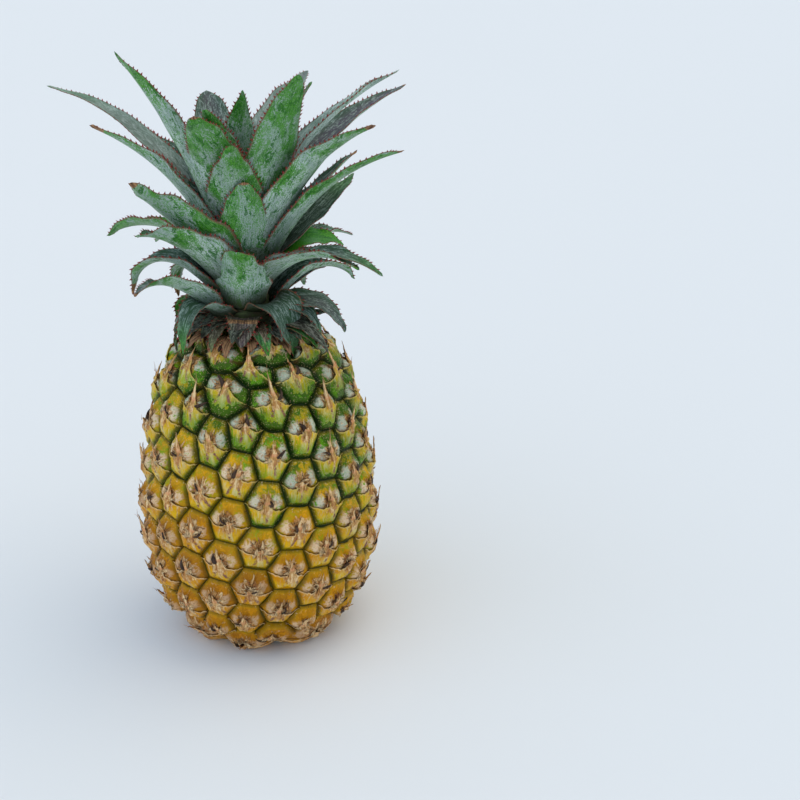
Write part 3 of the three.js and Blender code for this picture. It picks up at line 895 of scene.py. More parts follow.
class Skin:
    """The whole skin as one closed body: the fruitlets share the points along their sides."""

    def __init__(self, settings):
        self.settings, self.solid, self.sides = settings, Solid(), {}
        self.wobble = random.Random(SEED + 1)
        self.depth = -settings.groove_depth
        self.corners = np.array(lattice.corner_points)
        self.free = np.array(lattice.corner_free)
        dipped = on_skin(self.corners, np.full(len(self.corners), self.depth - CORNER_DIP))
        settled = np.where(self.free[:, None], dipped, self.corners)
        self.solid.add(settled, [], **groove_values(self.corners))
        for fruitlet in lattice.fruitlets:
            self.add_fruitlet(fruitlet)
        self.close_end(lattice.base, 0, 1.0, 1)
        self.close_end(lattice.top, OUTLINE_TOP, 0.0, -1)

    def side_points(self, a, b):
        """Places on the outline and point numbers along the side from corner a to corner b."""
        key = (min(a, b), max(a, b))
        if key not in self.sides:
            places, settled = self.lay_side(*key)
            start = self.solid.add(settled, [], **groove_values(places))
            self.sides[key] = (places, list(range(start, start + len(places))))
        places, numbers = self.sides[key]
        return (places, numbers) if a == key[0] else (places[::-1], numbers[::-1])

    def lay_side(self, first, last):
        """Places along a side, a little bent, and where the skin is there: down in the groove."""
        low, high = self.corners[first], self.corners[last]
        count = max(2, min(8, round(np.linalg.norm(high - low) / SIDE_POINT_SPACING)))
        shares = np.arange(1, count) / count
        places = low + np.outer(shares, high - low)
        sway = np.cross(high - low, [places[0][0], places[0][1], 0])
        sway = sway / max(np.linalg.norm(sway), 1e-6) * self.wobble.uniform(-0.9, 0.9)
        twist = self.wobble.uniform(-0.5, 0.5)
        if self.free[first] or self.free[last]:
            bend = np.sin(math.pi * shares) + twist * np.sin(2 * math.pi * shares)
            places = places + np.outer(bend, sway)
            return places, on_skin(places, np.full(len(places), self.depth))
        ring = BASE_FACE_RADIUS if low[2] < OUTLINE_TOP / 2 else TOP_FACE_RADIUS
        places[:, :2] *= (ring / np.hypot(places[:, 0], places[:, 1]))[:, None]
        return places, places

    def close_end(self, face, height, ripe, turn):
        """The flat face under or over the fruit."""
        ring = []
        order = lattice.rings[face]
        for k, a in enumerate(order):
            ring += [a, *self.side_points(a, order[(k + 1) % len(order)])[1]]
        centre = np.array([[0.0, 0.0, height]])
        middle = self.solid.add(centre, [], **{**groove_values(centre), "ripe": [ripe]})
        for pair in zip(ring, ring[1:] + ring[:1]):
            self.solid.faces.append((middle, *pair[::turn]))

    def add_fruitlet(self, fruitlet):
        """Rings of points from a fruitlet's sides to its middle, joined to the points along its sides."""
        loop, numbers = [], [[]]
        for k, a in enumerate(fruitlet.corners):
            places, along = self.side_points(a, fruitlet.corners[(k + 1) % len(fruitlet.corners)])
            loop += [self.corners[a], *places]
            numbers[0] += [a, *along]
        fruitlet.loop = np.array(loop)
        rings = [fruitlet.centre + (fruitlet.loop - fruitlet.centre) * (1 - share) for share in SKIN_RINGS]
        places = np.vstack([*rings, fruitlet.centre[None]])
        across, up = fruitlet.local(places)
        lift, groove = skin_lift(fruitlet, across, up, self.settings)
        values = self.layers(fruitlet, across, up, groove)
        start = self.solid.add(on_skin(places, lift), [], ripe=np.full(len(places), fruitlet.ripe), **values)

        size = len(loop)
        numbers += [[start + ring * size + k for k in range(size)] for ring in range(len(SKIN_RINGS))]
        after = [(k + 1) % size for k in range(size)]
        for outer, inner in zip(numbers, numbers[1:]):
            self.solid.faces += [(outer[k], outer[n], inner[n], inner[k]) for k, n in enumerate(after)]
        middle, last = start + len(places) - 1, numbers[-1]
        self.solid.faces += [(last[k], last[n], middle) for k, n in enumerate(after)]

    def layers(self, fruitlet, across, up, groove):
        """What the skin's layers say over a fruitlet."""
        u, v = across / fruitlet.half_width, up / fruitlet.half_height
        rim = rim_share(fruitlet.inside(across, up))
        eye = 1 - smooth(np.hypot(u * 1.15, v - STAR_UP), 0.2, 0.75)
        cheek = 1 - smooth(np.hypot(np.abs(u) - CHEEK_ACROSS, v - 0.2), 0.12, 0.55)
        # Painted shade: just under the bract's free edge and down in the eye.
        over_edge = up - BractShape(fruitlet, self.settings).edge_height(across)
        shade = np.exp(-((over_edge / 0.8) ** 2)) * (1 - groove)
        shade = np.maximum(shade, np.exp(-((np.hypot(u, v - EYE_UP) / 0.1) ** 2)))
        bearing = np.arctan2(v - STAR_UP, u)
        chance = np.full(len(u), fruitlet.chance)
        star = np.column_stack([np.cos(bearing), np.sin(bearing), np.hypot(u, v - STAR_UP), chance])
        return {"skin": np.column_stack([groove, rim, cheek, eye]), "star": star, "shade": shade}


# ---------------------------------------------------------------- bracts

SIDE_COLUMNS = 9
SPINE_COLUMNS = 8
BRACT_ROWS = 10
# Heights at which one piece of bracts ends and the next starts.
BRACT_BANDS = [0, 62, 112, 200]
# How far a bract's lower side lies under the skin and how little it clears it above that, how high its
# middle ridge and its ribs stand, and how many hairs there are to a bract.
TUCKED, CLEAR = -0.4, 0.18
RIDGE_HEIGHT = 0.8
RIB_HEIGHT = 0.14
HAIR_SHARE = 0.4


def lower_path(fruitlet):
    """The fruitlet's side from its left horn, down round the bottom, to its right horn."""
    u, v = fruitlet.local(fruitlet.loop)
    left, right = int(u.argmin()), int(u.argmax())
    order = [(left + k) % len(u) for k in range((right - left) % len(u) + 1)]
    return np.column_stack([u[order], v[order]])


def along_path(path, shares):
    """Points at shares of a path's length."""
    steps = np.hypot(*np.diff(path, axis=0).T)
    length_to = np.concatenate([[0], np.cumsum(steps)]) / steps.sum()
    return np.column_stack([np.interp(shares, length_to, path[:, axis]) for axis in (0, 1)])


def free_edge(shape):
    """The free edge of a bract from horn to horn, and how far up the spine each point is."""
    left, right = (
        [(shape.side_edge(k / SIDE_COLUMNS, side), 0.0) for k in range(SIDE_COLUMNS)]
        + [(shape.spine_edge(k / SPINE_COLUMNS, side), k / SPINE_COLUMNS) for k in range(SPINE_COLUMNS)]
        for side in (-1, 1)
    )
    points, shares = zip(*left, (shape.spine_edge(1.0, 0), 1.0), *right[::-1])
    return np.array(points), np.array(shares)


def bract_outline(fruitlet, shape, rough):
    """A bract's ragged free edge, how far up the spine that is, its extra lift, the side that the bract
    clings to, and how far each column is from a horn.
    """
    edge, spine = free_edge(shape)
    columns = len(edge)
    ragged = 0.18 * shape.scale * np.where(np.arange(columns) % 2, 1, -1) * (spine > 0) * (spine < 0.8)
    frayed = [rough.gauss(0, 0.12) for _ in range(columns)]
    edge[:, 0] += ragged * np.sign(edge[:, 0] - shape.spine_x) + frayed
    edge[:, 1] += [rough.gauss(0, 0.22) for _ in range(columns)]
    shares = np.arange(columns) / (columns - 1)
    low = along_path(lower_path(fruitlet), shares + 0.12 * np.sin(2 * math.pi * shares)) * 0.97
    edge_lift = np.array([rough.gauss(0, 0.18) for _ in range(columns)])
    return edge, spine, edge_lift, low, np.minimum(shares, 1 - shares)


def add_bract(solid, fruitlet, settings):
    """A bract as a closed plate: it clings low down, and its free edge and spine stand off the skin."""
    shape = BractShape(fruitlet, settings)
    edge, spine, edge_lift, low, from_horn = bract_outline(fruitlet, shape, fruitlet.draws("bract edge"))
    columns, rows = len(edge), BRACT_ROWS + 1
    horn = 1 - smooth(from_horn, 0.0, 0.12)
    chance = np.full(columns, fruitlet.chance)

    tops, unders, cells, bracts = [], [], [], []
    for row in range(rows):
        rise = row / BRACT_ROWS
        across, up = blend(low, edge, rise).T
        off_axis = across - (shape.spine_x + shape.lean * (up - shape.spine_y))
        bare, _ = skin_lift(fruitlet, across, up, settings)
        over = smooth(up, shape.spine_y - 2, shape.spine_y + 2) * np.exp(-((off_axis / 3.5) ** 2))
        bare = blend(bare, np.full(columns, settings.dome_height - 0.4), over)
        bare = np.maximum(bare, blend(-settings.groove_depth, -1.5, horn * smooth(rise, 0.3, 0.9)))
        lift = bare + blend(TUCKED, CLEAR, smooth(rise, 0, 0.2))
        lift = lift + (shape.lift + edge_lift * (spine < 0.9)) * rise**2.5 * (1 - 0.8 * horn)
        lift = lift + RIDGE_HEIGHT * np.exp(-((off_axis / 1.7) ** 2)) * smooth(rise, 0.1, 0.6)
        rib = np.cos(off_axis * 2.1) + 0.7 * np.sin(across * 3.3 + up * 0.4 + 40 * fruitlet.chance)
        lift = lift + RIB_HEIGHT * rib * smooth(rise, 0.08, 0.4)
        lift = lift + shape.curl * (spine * rise) ** 2.5 * 1.5
        thick = settings.bract_thickness * blend(1.6, 1.0, rise) * (1 - 0.4 * spine * rise)
        tops.append(fruitlet.place(across, up, lift))
        unders.append(fruitlet.place(across, up, lift - thick))

        u, v = across / fruitlet.half_width, up / fruitlet.half_height
        near = np.hypot(across[:, None] - edge[None, :, 0], up[:, None] - edge[None, :, 1]).min(1)
        trim = np.exp(-((near / 0.8) ** 2)) * smooth(from_horn, 0, 0.04)
        on_spine = smooth(up, shape.spine_y + 0.5, shape.spine_y + max(shape.spine_length, 1))
        on_spine = on_spine * np.exp(-((off_axis / 3.0) ** 2))
        dry = 1 - smooth(np.hypot(u * 1.1, v - STAR_UP), 0.12, 0.75)
        rim = rim_share(fruitlet.inside(across, up)) * (1 - over)
        cells.append(np.column_stack([off_axis / fruitlet.half_width, v, chance, chance]))
        bracts.append(np.column_stack([rim, trim, on_spine, dry]))

    values = {"cell": np.vstack(cells * 2), "bract": np.vstack(bracts * 2)}
    ripe = np.full(2 * rows * columns, fruitlet.ripe)
    solid.add(np.vstack(tops + unders), plate(rows, columns), ripe=ripe, **values)


def plate(rows, columns):
    """Faces of a closed plate: a grid of points on top, the same underneath, and the border between them."""
    back = rows * columns
    faces = []
    for r in range(rows - 1):
        for c in range(columns - 1):
            a = r * columns + c
            faces.append((a, a + 1, a + 1 + columns, a + columns))
            faces.append((back + a, back + a + columns, back + a + 1 + columns, back + a + 1))
    border = list(range(columns))
    border += [r * columns + columns - 1 for r in range(1, rows)]
    border += [(rows - 1) * columns + c for c in range(columns - 2, -1, -1)]
    border += [r * columns for r in range(rows - 2, 0, -1)]
    return faces + [(b, a, back + a, back + b) for a, b in zip(border, border[1:] + border[:1])]


def add_shreds(solid, fruitlet, settings):
    """Dry papery shreds that stick out round the foot of the spine, more of them on ripe fruitlets."""
    pick = fruitlet.draws("shreds")
    shape = BractShape(fruitlet, settings)
    shares = np.linspace(0, 1, 6)
    for _ in range(round(pick.uniform(2, 4) + 7 * fruitlet.ripe)):
        bearing = pick.uniform(-0.6, math.pi + 0.6)
        reach = pick.uniform(1.8, 5.0) * shape.scale
        bend = bearing + pick.uniform(-0.8, 0.8) * shares
        out = pick.uniform(0.4, 1.6) * shape.scale + reach * shares
        across = shape.spine_x + out * np.cos(bend)
        up = shape.spine_y + 1.2 + out * np.sin(bend)
        bare, _ = skin_lift(fruitlet, across, up, settings)
        lift = np.maximum(bare, -0.4) + 0.35 + pick.uniform(0.1, 1.1) * shares**2
        line = fruitlet.place(across, up, lift)
        widths = pick.uniform(0.4, 1.5) * shape.scale * (1 - 0.9 * shares**1.3)
        sideways = np.cross(line[-1] - line[0], fruitlet.place(np.zeros(1), np.zeros(1), np.ones(1))[0])
        solid.add(*tube(line, widths, 0.1 + widths * 0.12, 6, sideways))


def add_dried_flower(solid, fruitlet, settings):
    """A black curl of dried flower, from the eye outwards."""
    pick = fruitlet.draws("flower")
    if pick.random() > settings.flower_share:
        return
    shape = BractShape(fruitlet, settings)
    direction = pick.choice([-1, 1])
    reach = pick.uniform(3.4, 7.5) * shape.scale
    heading = math.radians(pick.uniform(20, 110))
    bend = pick.uniform(-1.6, 1.6)
    steps = 9
    across, up, lift = [shape.spine_x + direction * 1.3 * shape.scale], [shape.spine_y + 0.8], [0.2]
    for k in range(steps):
        turn = heading + bend * k / steps
        across.append(across[-1] + direction * math.cos(turn) * reach / steps)
        up.append(up[-1] + math.sin(turn) * reach / steps)
        lift.append(0.9 + 1.1 * math.sin(math.pi * (k + 1) / steps) + pick.uniform(0, 0.25))
    line = fruitlet.place(np.array(across), np.array(up), np.array(lift))
    widths = (1.1 * (1 - np.linspace(0, 1, len(line)) ** 2.5) + 0.12) * shape.scale * pick.uniform(0.5, 1.3)
    solid.add(*tube(line, widths, widths * 0.4, 6, fruitlet.across))


def add_hair(solid, fruitlet, settings):
    """A fine dry hair off the end of the bract's spine."""
    pick = fruitlet.draws("hair")
    if pick.random() > HAIR_SHARE:
        return
    shape = BractShape(fruitlet, settings)
    tip = shape.spine_edge(0.97, 0)
    reach = pick.uniform(2.5, 5.5)
    shares = np.linspace(0, 1, 7)
    across = tip[0] + shape.lean * reach * shares + pick.uniform(-1.2, 1.2) * shares**2
    up = tip[1] - 1.0 + reach * shares
    lift = settings.dome_height + 1.2 + shape.lift + shape.curl * 1.2 + pick.uniform(0.2, 2.2) * shares**2
    widths = 0.16 * (1 - 0.75 * shares)
    solid.add(*tube(fruitlet.place(across, up, lift), widths, widths, 5, fruitlet.across))


# ---------------------------------------------------------------- crown

STEM_OUTLINE = [(168.4, 14), (175, 12.5), (200, 9.5), (230, 6), (252, 3)]
STEM_HEIGHTS, STEM_RADII = spline_table(STEM_OUTLINE)
CROWN_OFFSET = -3.5
CLEARANCE = 0.3
CAD_LEAF_THICKNESS = 1.4
CAD_LEAF_STEPS = 8
LEAF_RINGS = 34
LEAF_COLUMNS = 12
# The share of its length at which a leaf is widest, and those between which it has teeth.
WIDEST = 0.25
TEETH_FROM, TEETH_TO = 0.13, 0.965
# How deep the channel along a leaf is, in millimetres, how wide as a share of half the leaf's width, and
# how high the waves along its margins are, as a share of its width.
CHANNEL_DEPTH, CHANNEL_WIDTH = 0.35, 0.16
WAVE_HEIGHT = 0.022
# How far along a leaf a tear reaches to either side, as a share of its length.
TEAR_REACH = 0.06
# The stem's rings of points, the points in each, and how high the scars of the leaves stand on it.
STEM_RINGS, STEM_SIDES = 70, 40
SCAR_HEIGHTS = (0.35, 0.15)

# One row for each leaf: angle round the stem, height where it leaves the stem, length along its middle,
# greatest width, rise above the horizontal at its base, how far it has bent down by its tip, how far its
# heading has turned by its tip, how far it has rolled by its tip, and half the angle of the arc across it.
# Two last numbers, where present, are the shares of the length between which it bends.
LEAVES = {
    "heart_leaf": [
        (6, 245, 50, 20, 77, 16, 15, 8, 45),
        (-14, 231, 69, 20, 71, 31, -3, 12, 50),
        (114, 230, 64, 18, 71, 21, -6, 0, 50),
        (155, 230, 87, 27, 60, 60, 5, 12, 50),
        (-154, 226, 66, 36, 52, 19, -12, 0, 29),
    ],
    "upper_leaf": [
        (-22, 224, 78, 34, 68, 29, 10, 14, 36),
        (-5, 217, 68, 32, 69, 29, 14, 5, 48),
        (128, 219, 112, 24, 46, 42, 8, 0, 66),
        (115, 217, 104, 23, 66, 48, -12, -17, 65),
        (42, 214, 102, 32, 75, 25, -14, -12, 24),
        (-53, 208, 122, 28, 74, 26, 8, 10, 64),
        (-165, 208, 92, 26, 50, 60, 0, 0, 55),
        (150, 206, 98, 26, 46, 60, 5, 0, 55),
        (-130, 204, 105, 26, 60, 70, -10, 19, 60),
        (178, 204, 100, 28, 48, 60, 0, 0, 55),
        (-118, 203, 136, 18, 65, 75, -9, 1, 50),
    ],
    "middle_leaf": [
        (118, 197, 47, 30, 46, 95, -6, 20, 30),
        (8, 199, 54, 33, 74, 8, 0, 0, 46),
        (-55, 199, 78, 40, 50, 10, 22, 24, 72),
        (111, 199, 71, 23, 56, 22, 0, -8, 47),
        (-148, 198, 94, 26, 44, 62, 0, 0, 55),
        (-90, 197, 97, 32, 79, 68, -12, 35, 66),
        (122, 197, 72, 24, 35, 21, 32, 4, 51),
        (-122, 196, 84, 28, 36, 82, -5, 25, 70),
        (80, 194, 103, 25, 70, 57, -16, -14, 59),
        (70, 193, 116, 36, 82, 66, -28, -15, 61),
        (162, 192, 84, 26, 42, 70, 0, 0, 52),
        (55, 191, 84, 24, 52, 80, -8, -9, 41),
        (-174, 190, 88, 26, 44, 80, 0, 0, 52),
        (57, 188, 72, 27, 57, 78, -16, -18, 62),
        (-50, 188, 75, 38, 62, 55, 25, 25, 74),
        (-82, 183, 62, 24, 46, 125, -34, 8, 70, 0.12, 0.95),
        (-142, 186, 78, 24, 40, 90, 0, 0, 50),
        (140, 184, 74, 24, 44, 85, 0, 0, 50),
    ],
    "lower_leaf": [
        (0, 180, 44, 34, 73, 30, -4, -10, 66),
        (-132, 178, 58, 20, 32, 130, -10, 0, 45, 0.1, 1.0),
        (-112, 175, 44, 14, 30, 140, -6, 0, 48, -0.1, 0.9),
        (180, 176, 64, 22, 30, 95, 0, 0, 46),
        (156, 174, 58, 22, 34, 100, 0, 0, 46),
        (-54, 172, 79, 23, 58, 68, 48, 28, 52),
        (88, 172, 44, 22, 50, 138, -17, 12, 44),
        (110, 171, 60, 20, 80, 155, 20, -16, 80),
        (-156, 171, 52, 20, 30, 105, 0, 0, 46),
    ],
    "collar_leaf": [
        (47, 178, 41, 28, 62, 136, 22, -6, 34, -0.1, 0.45),
        (-42, 176, 46, 20, 34, 112, 8, 8, 48, 0.15, 0.75),
        (2, 174, 22, 17, 38, 98, -12, -3, 15, 0, 0.6),
        (-28, 174, 24, 11, 20, 110, 2, 4, 35),
        (18, 172, 26, 10, 20, 85, 7, 2, 29),
        (120, 174, 40, 16, 50, 60, 0, 0, 45),
        (-86, 172, 38, 16, 28, 118, -4, 0, 35, -0.1, 0.8),
        (74, 174, 38, 16, 34, 118, 0, 0, 38, -0.1, 0.9),
        (170, 171, 40, 18, 15, 95, 0, 0, 40),
        (-130, 171, 38, 16, 15, 95, 0, 0, 40),
    ],
}

# The bracts in the collar that show most: what they are like, then a row as for a leaf and how far
# they stand from the fruit's axis.
COLLAR_BRACTS = [
    ("dried", (-21, 168, 12, 7, 5, 95, 6, 10, 30, 24)),
    ("dried", (-13, 168, 10, 5, 30, 20, -50, 20, 30, 22)),
    ("dried", (-9, 167, 9, 4, 10, 60, 35, 0, 20, 23)),
    ("dried", (2, 168, 10, 10, 12, 80, 4, 0, 25, 21)),
    ("dried", (27, 169, 8, 6, 10, 70, 10, 10, 25, 22)),
    ("dried", (37, 167, 10, 6, -5, 70, 5, 0, 25, 25)),
    ("green", (13, 172, 22, 12, 15, 82, 14, 0, 25, 17)),
    ("dark", (-44, 172, 20, 17, 38, 105, 6, 0, 36, 16)),
    ("dark", (-52, 171, 26, 14, 40, 100, 0, 0, 40, 16)),
    ("dark", (-12, 172, 17, 14, 35, 100, -10, 0, 36, 17)),
    ("dark", (56, 172, 34, 14, 20, 85, 0, 0, 30, 16)),
    ("green", (50, 171, 25, 9, 20, 80, 12, 0, 30, 19)),
    ("dark", (28, 171, 16, 12, 30, 80, 6, 0, 30, 18)),
    ("dried", (-36, 168, 13, 9, 10, 70, 10, 0, 25, 23)),
    ("dried", (-58, 167, 14, 8, 10, 75, 0, 0, 25, 24)),
]

# How much of its bloom a leaf has lost, where that is not nothing. Less than nothing is a thicker bloom.
FRESH = {
    "heart_leaf_1": 0.03, "heart_leaf_2": 0.07, "heart_leaf_4": -0.16, "heart_leaf_5": -0.05,
    "upper_leaf_1": 0.1, "upper_leaf_2": 0.08, "upper_leaf_3": -0.06, "upper_leaf_4": -0.2,
    "upper_leaf_5": 0.13, "upper_leaf_6": -0.01, "upper_leaf_11": -0.12,
    "middle_leaf_1": 0.2, "middle_leaf_2": 0.1, "middle_leaf_3": 0.06, "middle_leaf_8": 0.16,
    "middle_leaf_9": 0.05, "lower_leaf_1": 0.04, "lower_leaf_3": 0.16, "lower_leaf_7": -0.05,
    "collar_leaf_1": -0.02, "collar_leaf_2": -0.04, "collar_leaf_6": 0.1,
}
# How purple the inner face of a leaf is, where that is not the usual share.
USUAL_PURPLE = 0.3
PURPLE = {
    "heart_leaf_4": 0.8, "heart_leaf_5": 0.7, "upper_leaf_3": 1.0, "upper_leaf_9": 0.7,
    "middle_leaf_4": 0.5, "lower_leaf_6": 0.6, "lower_leaf_7": 0.6,
    "collar_leaf_1": 0.0, "collar_leaf_2": 0.0, "collar_leaf_3": 1.0,
}
# How brown a leaf has dried all over.
DRIED = {"collar_leaf_3": 0.3, "collar_leaf_4": 0.35, "collar_leaf_5": 0.5}
# How much of a leaf has gone dark.
OLD = {"collar_leaf_2": 0.1, "collar_leaf_3": 0.7, "collar_leaf_4": 0.5, "collar_leaf_5": 0.5}
# Leaves with a dried tip, and the share of the length where it starts.
DRIED_TIPS = {
    "upper_leaf_1": 0.985, "upper_leaf_3": 0.985, "middle_leaf_2": 0.98, "middle_leaf_3": 0.955,
    "middle_leaf_4": 0.95, "middle_leaf_6": 0.93, "middle_leaf_9": 0.975, "middle_leaf_10": 0.96,
    "middle_leaf_16": 0.9, "lower_leaf_2": 0.9, "lower_leaf_6": 0.96,
}
# A place past the tip, for leaves that have dried nowhere.
NO_DRIED_TIP = 1.3
# Leaves folded back where they have torn, and the share of the length where the tear is.
TORN = {"collar_leaf_3": 0.42}
# Leaves with a blunt, broad tip. The others draw out to a point.
BROAD_LEAVES = {
    "heart_leaf_2", "heart_leaf_5", "upper_leaf_1", "upper_leaf_5",
    "middle_leaf_2", "lower_leaf_1", "collar_leaf_3",
}
# What the bracts in the collar are like: bloom lost, purple, dried and gone dark, as for a leaf. The
# near-black patches of the dark ones are painted shade of the gaps between crown and fruit.
COLLAR_STATES = {"dried": (0, 0, 1, 0.1), "dark": (-0.05, 0.5, 0.15, 0.95), "green": (0.13, 0, 0, 0.15)}
# The bracts round the back of the collar, and the arc that they fill.
BACK_BRACTS = 34
BACK_START, BACK_ARC = 52, 256
# A tooth's points, as shares of its base along the leaf, shares of its length outwards, and millimetres up.
TOOTH = np.array([
    (-1, 0, 0.16), (-1, 0, -0.16), (0.9, 0, -0.16), (0.9, 0, 0.16), (-0.1, 0.62, 0.12),
    (-0.1, 0.62, -0.12), (0.95, 0.5, -0.1), (0.95, 0.5, 0.1), (1.35, 1.12, 0),
])
TOOTH_FACES = [(0, 1, 2, 3), (0, 4, 5, 1), (1, 5, 6, 2), (2, 6, 7, 3), (3, 7, 4, 0),
               (4, 8, 5), (5, 8, 6), (6, 8, 7), (7, 8, 4)]


def stem_radius(height):
    return float(np.interp(height, STEM_HEIGHTS, STEM_RADII))


def leaf_angles(row, share):
    """Heading, pitch and roll of a leaf at a share of its length."""
    angle, _, _, _, rise, fall, turn, roll, _, start, end = (*row, -0.3, 1.3)[:11]
    pitch = rise - fall * float(smooth(share, start, end))
    return math.radians(angle + turn * share), math.radians(pitch), math.radians(roll * share)


def leaf_frame(row, share):
    """Along, across and inward directions of a leaf at a share of its length."""
    heading, pitch, roll = leaf_angles(row, share)
    side = Vector((math.cos(heading), math.sin(heading), 0))
    inner = Vector(around(heading, -math.sin(pitch), math.cos(pitch)))
    along = side.cross(inner)
    twist = Matrix.Rotation(roll, 3, along)
    return np.array(along), np.array(twist @ side), np.array(twist @ inner)


def leaf_start(row):
    """Where a leaf leaves the crown stem."""
    stand = stem_radius(row[1]) + CLEARANCE + CAD_LEAF_THICKNESS / 2
    return around(math.radians(row[0]), stand, row[1]) + np.array([CROWN_OFFSET, 0, 0])


def leaf_line(row, start):
    """The middle of a leaf at each of the coarse model's stations."""
    line = [start]
    for step in range(CAD_LEAF_STEPS):
        along, _, _ = leaf_frame(row, step / CAD_LEAF_STEPS)
        line.append(line[-1] + along * row[2] / CAD_LEAF_STEPS)
    return np.array(line)


def along_line(line, share):
    """A point at a share of a line, on a smooth curve through its points."""
    last = len(line) - 1
    place = share * last
    k = min(int(place), last - 1)
    before = line[k - 1] if k else 2 * line[0] - line[1]
    after = line[k + 2] if k + 2 <= last else 2 * line[last] - line[last - 1]
    return on_curve(before, line[k], line[k + 1], after, place - k)


def half_width(width, share, broad):
    """Half a leaf's width at a share of its length."""
    past = max(0.0, (share - WIDEST) / (1 - WIDEST))
    base = 0.82 + 0.18 * float(smooth(share, 0, WIDEST))
    rounded = math.sqrt(max(0.0, 1 - past**1.6))
    pointed = max(0.0, 1 - past**1.5) ** 0.75
    return width / 2 * base * (1 - 0.35 * past) * (rounded if broad else pointed)


def leaf_state(name):
    """What a leaf's layer "state" says: bloom lost, purple, dried and gone dark."""
    return FRESH.get(name, 0.0), PURPLE.get(name, USUAL_PURPLE), DRIED.get(name, 0.0), OLD.get(name, 0.0)


def sweep_leaf(solid, name, row, line, state, settings, tooth_scale=1.0):
    """A leaf along a line as one closed body, with its hooked teeth set into its margins."""
    chance = random.Random(name)
    seed = chance.uniform(0, 500)
    width, cup = row[3], math.radians(row[8])
    tip_from = DRIED_TIPS.get(name, NO_DRIED_TIP)
    ripple, phase = chance.uniform(0, 6.28), chance.uniform(0, 6.28)
    shares = [1 - (1 - k / LEAF_RINGS) ** 1.15 for k in range(LEAF_RINGS)]
    across_steps = [math.sin(math.pi / 2 * (2 * k / LEAF_COLUMNS - 1)) for k in range(LEAF_COLUMNS + 1)]

    points, leaf, blade = [], [], []
    margins = {-1: [], 1: []}
    for share in shares:
        middle = along_line(line, share)
        along, side, inner = leaf_frame(row, share)
        half = half_width(width, share, name in BROAD_LEAVES) * (1 + 0.02 * math.sin(share * 23 + phase))
        arc = cup * (1 - 0.3 * share)
        bow = half / arc
        thin = 1 - 0.5 * share
        tip = float(smooth(share, tip_from - 0.04, tip_from + 0.02))
        if name in TORN:
            torn = math.exp(-(((share - TORN[name]) / TEAR_REACH) ** 2))
            tip, thin = max(tip, torn), thin + torn
        wave = math.sin(share * 17 + ripple) + 0.6 * math.sin(share * 31 + phase)
        wave = WAVE_HEIGHT * width * wave
        for face in (1, -1):
            for across in across_steps[::face]:
                thick = blend(settings.thickness, settings.edge_thickness, abs(across) ** 1.5) * thin
                channel = -CHANNEL_DEPTH * math.exp(-((across / CHANNEL_WIDTH) ** 2)) * thin
                spot = middle + side * bow * math.sin(across * arc)
                rise = bow * (1 - math.cos(across * arc)) + face * thick / 2 + wave * across**2 + channel
                points.append(spot + inner * rise)
                leaf.append((abs(across), share, 1.0 if face == 1 else 0.0, 0.0))
                blade.append((across * half + seed, share * row[2], seed, tip))
            height = bow * (1 - math.cos(face * arc)) + wave
            spot = middle + side * bow * math.sin(face * arc) + inner * height
            way = side * math.cos(face * arc) * face + inner * math.sin(abs(arc))
            margins[face].append((share, *spot, *along, *way))
    ring = 2 * (LEAF_COLUMNS + 1)
    points.append(along_line(line, 1.0))
    leaf.append((0.0, 1.0, 0.5, 0.0))
    blade.append((seed, row[2], seed, float(tip_from < 1)))
    faces = [face[::-1] for face in sleeve(LEAF_RINGS, ring, closed_tip=True)]
    solid.add(np.array(points), faces, leaf=leaf, blade=blade, state=[state] * len(points))
    for edge, margin in margins.items():
        tooth = settings.tooth_length * tooth_scale
        add_teeth(solid, np.array(margin), edge, (row[2], seed, state), tooth, settings.tooth_spacing, chance)


def add_teeth(solid, margin, edge, leaf, tooth, spacing, chance):
    """Small hooked teeth along one margin, leaning towards the tip."""
    reach, seed, state = leaf
    at = TEETH_FROM * reach + chance.uniform(0, 2)
    count = len(TOOTH)
    while at < TEETH_TO * reach:
        share = at / reach
        place = np.array([np.interp(share, margin[:, 0], column) for column in margin[:, 1:].T])
        spot, along, way = place.reshape(3, 3)
        size = tooth * chance.uniform(0.75, 1.2) * (0.55 + 0.45 * math.sin(math.pi * share) ** 0.5)
        normal = np.cross(along, way)
        arms = np.array([along * 0.55 * size, way * size, normal])
        faces = TOOTH_FACES
        if np.linalg.det(np.array([along, way, normal])) * edge < 0:
            faces = [face[::-1] for face in faces]
        layer = [(0.97, share, 0.5, 0.25)] * 4 + [(0.97, share, 0.5, 1.0)] * 5
        blade = [(seed, at, seed, 0.0)] * count
        solid.add(spot - way * 0.25 + TOOTH @ arms, faces, leaf=layer, blade=blade, state=[state] * count)
        at += spacing * chance.uniform(0.8, 1.2)


def add_collar_bracts(solids, settings):
    """The small bracts crowded between the crown and the fruit: dried, dark and a few green ones."""
    chance = random.Random(SEED + 5)
    bracts = list(COLLAR_BRACTS)
    for k in range(BACK_BRACTS):
        angle = BACK_START + (k + chance.uniform(-0.3, 0.3)) * BACK_ARC / BACK_BRACTS
        stand = chance.uniform(15, 25)
        ranges = [(11, 19), (7, 12), (15, 50), (55, 110), (-25, 25), (-30, 30), (20, 40)]
        shape = [chance.uniform(low, high) for low, high in ranges]
        row = (angle, 171.5 - (stand - 15) * 0.35, *shape, stand)
        bracts.append((chance.choice(["dried", "dark", "dark"]), row))
    for k, (kind, (*row, stand)) in enumerate(bracts):
        solid = solids["dried_leaf" if kind == "dried" else "leaf"]
        line = leaf_line(row, around(math.radians(row[0]), stand, row[1]))
        sweep_leaf(solid, f"collar bract {k}", row, line, COLLAR_STATES[kind], settings, 0.6)


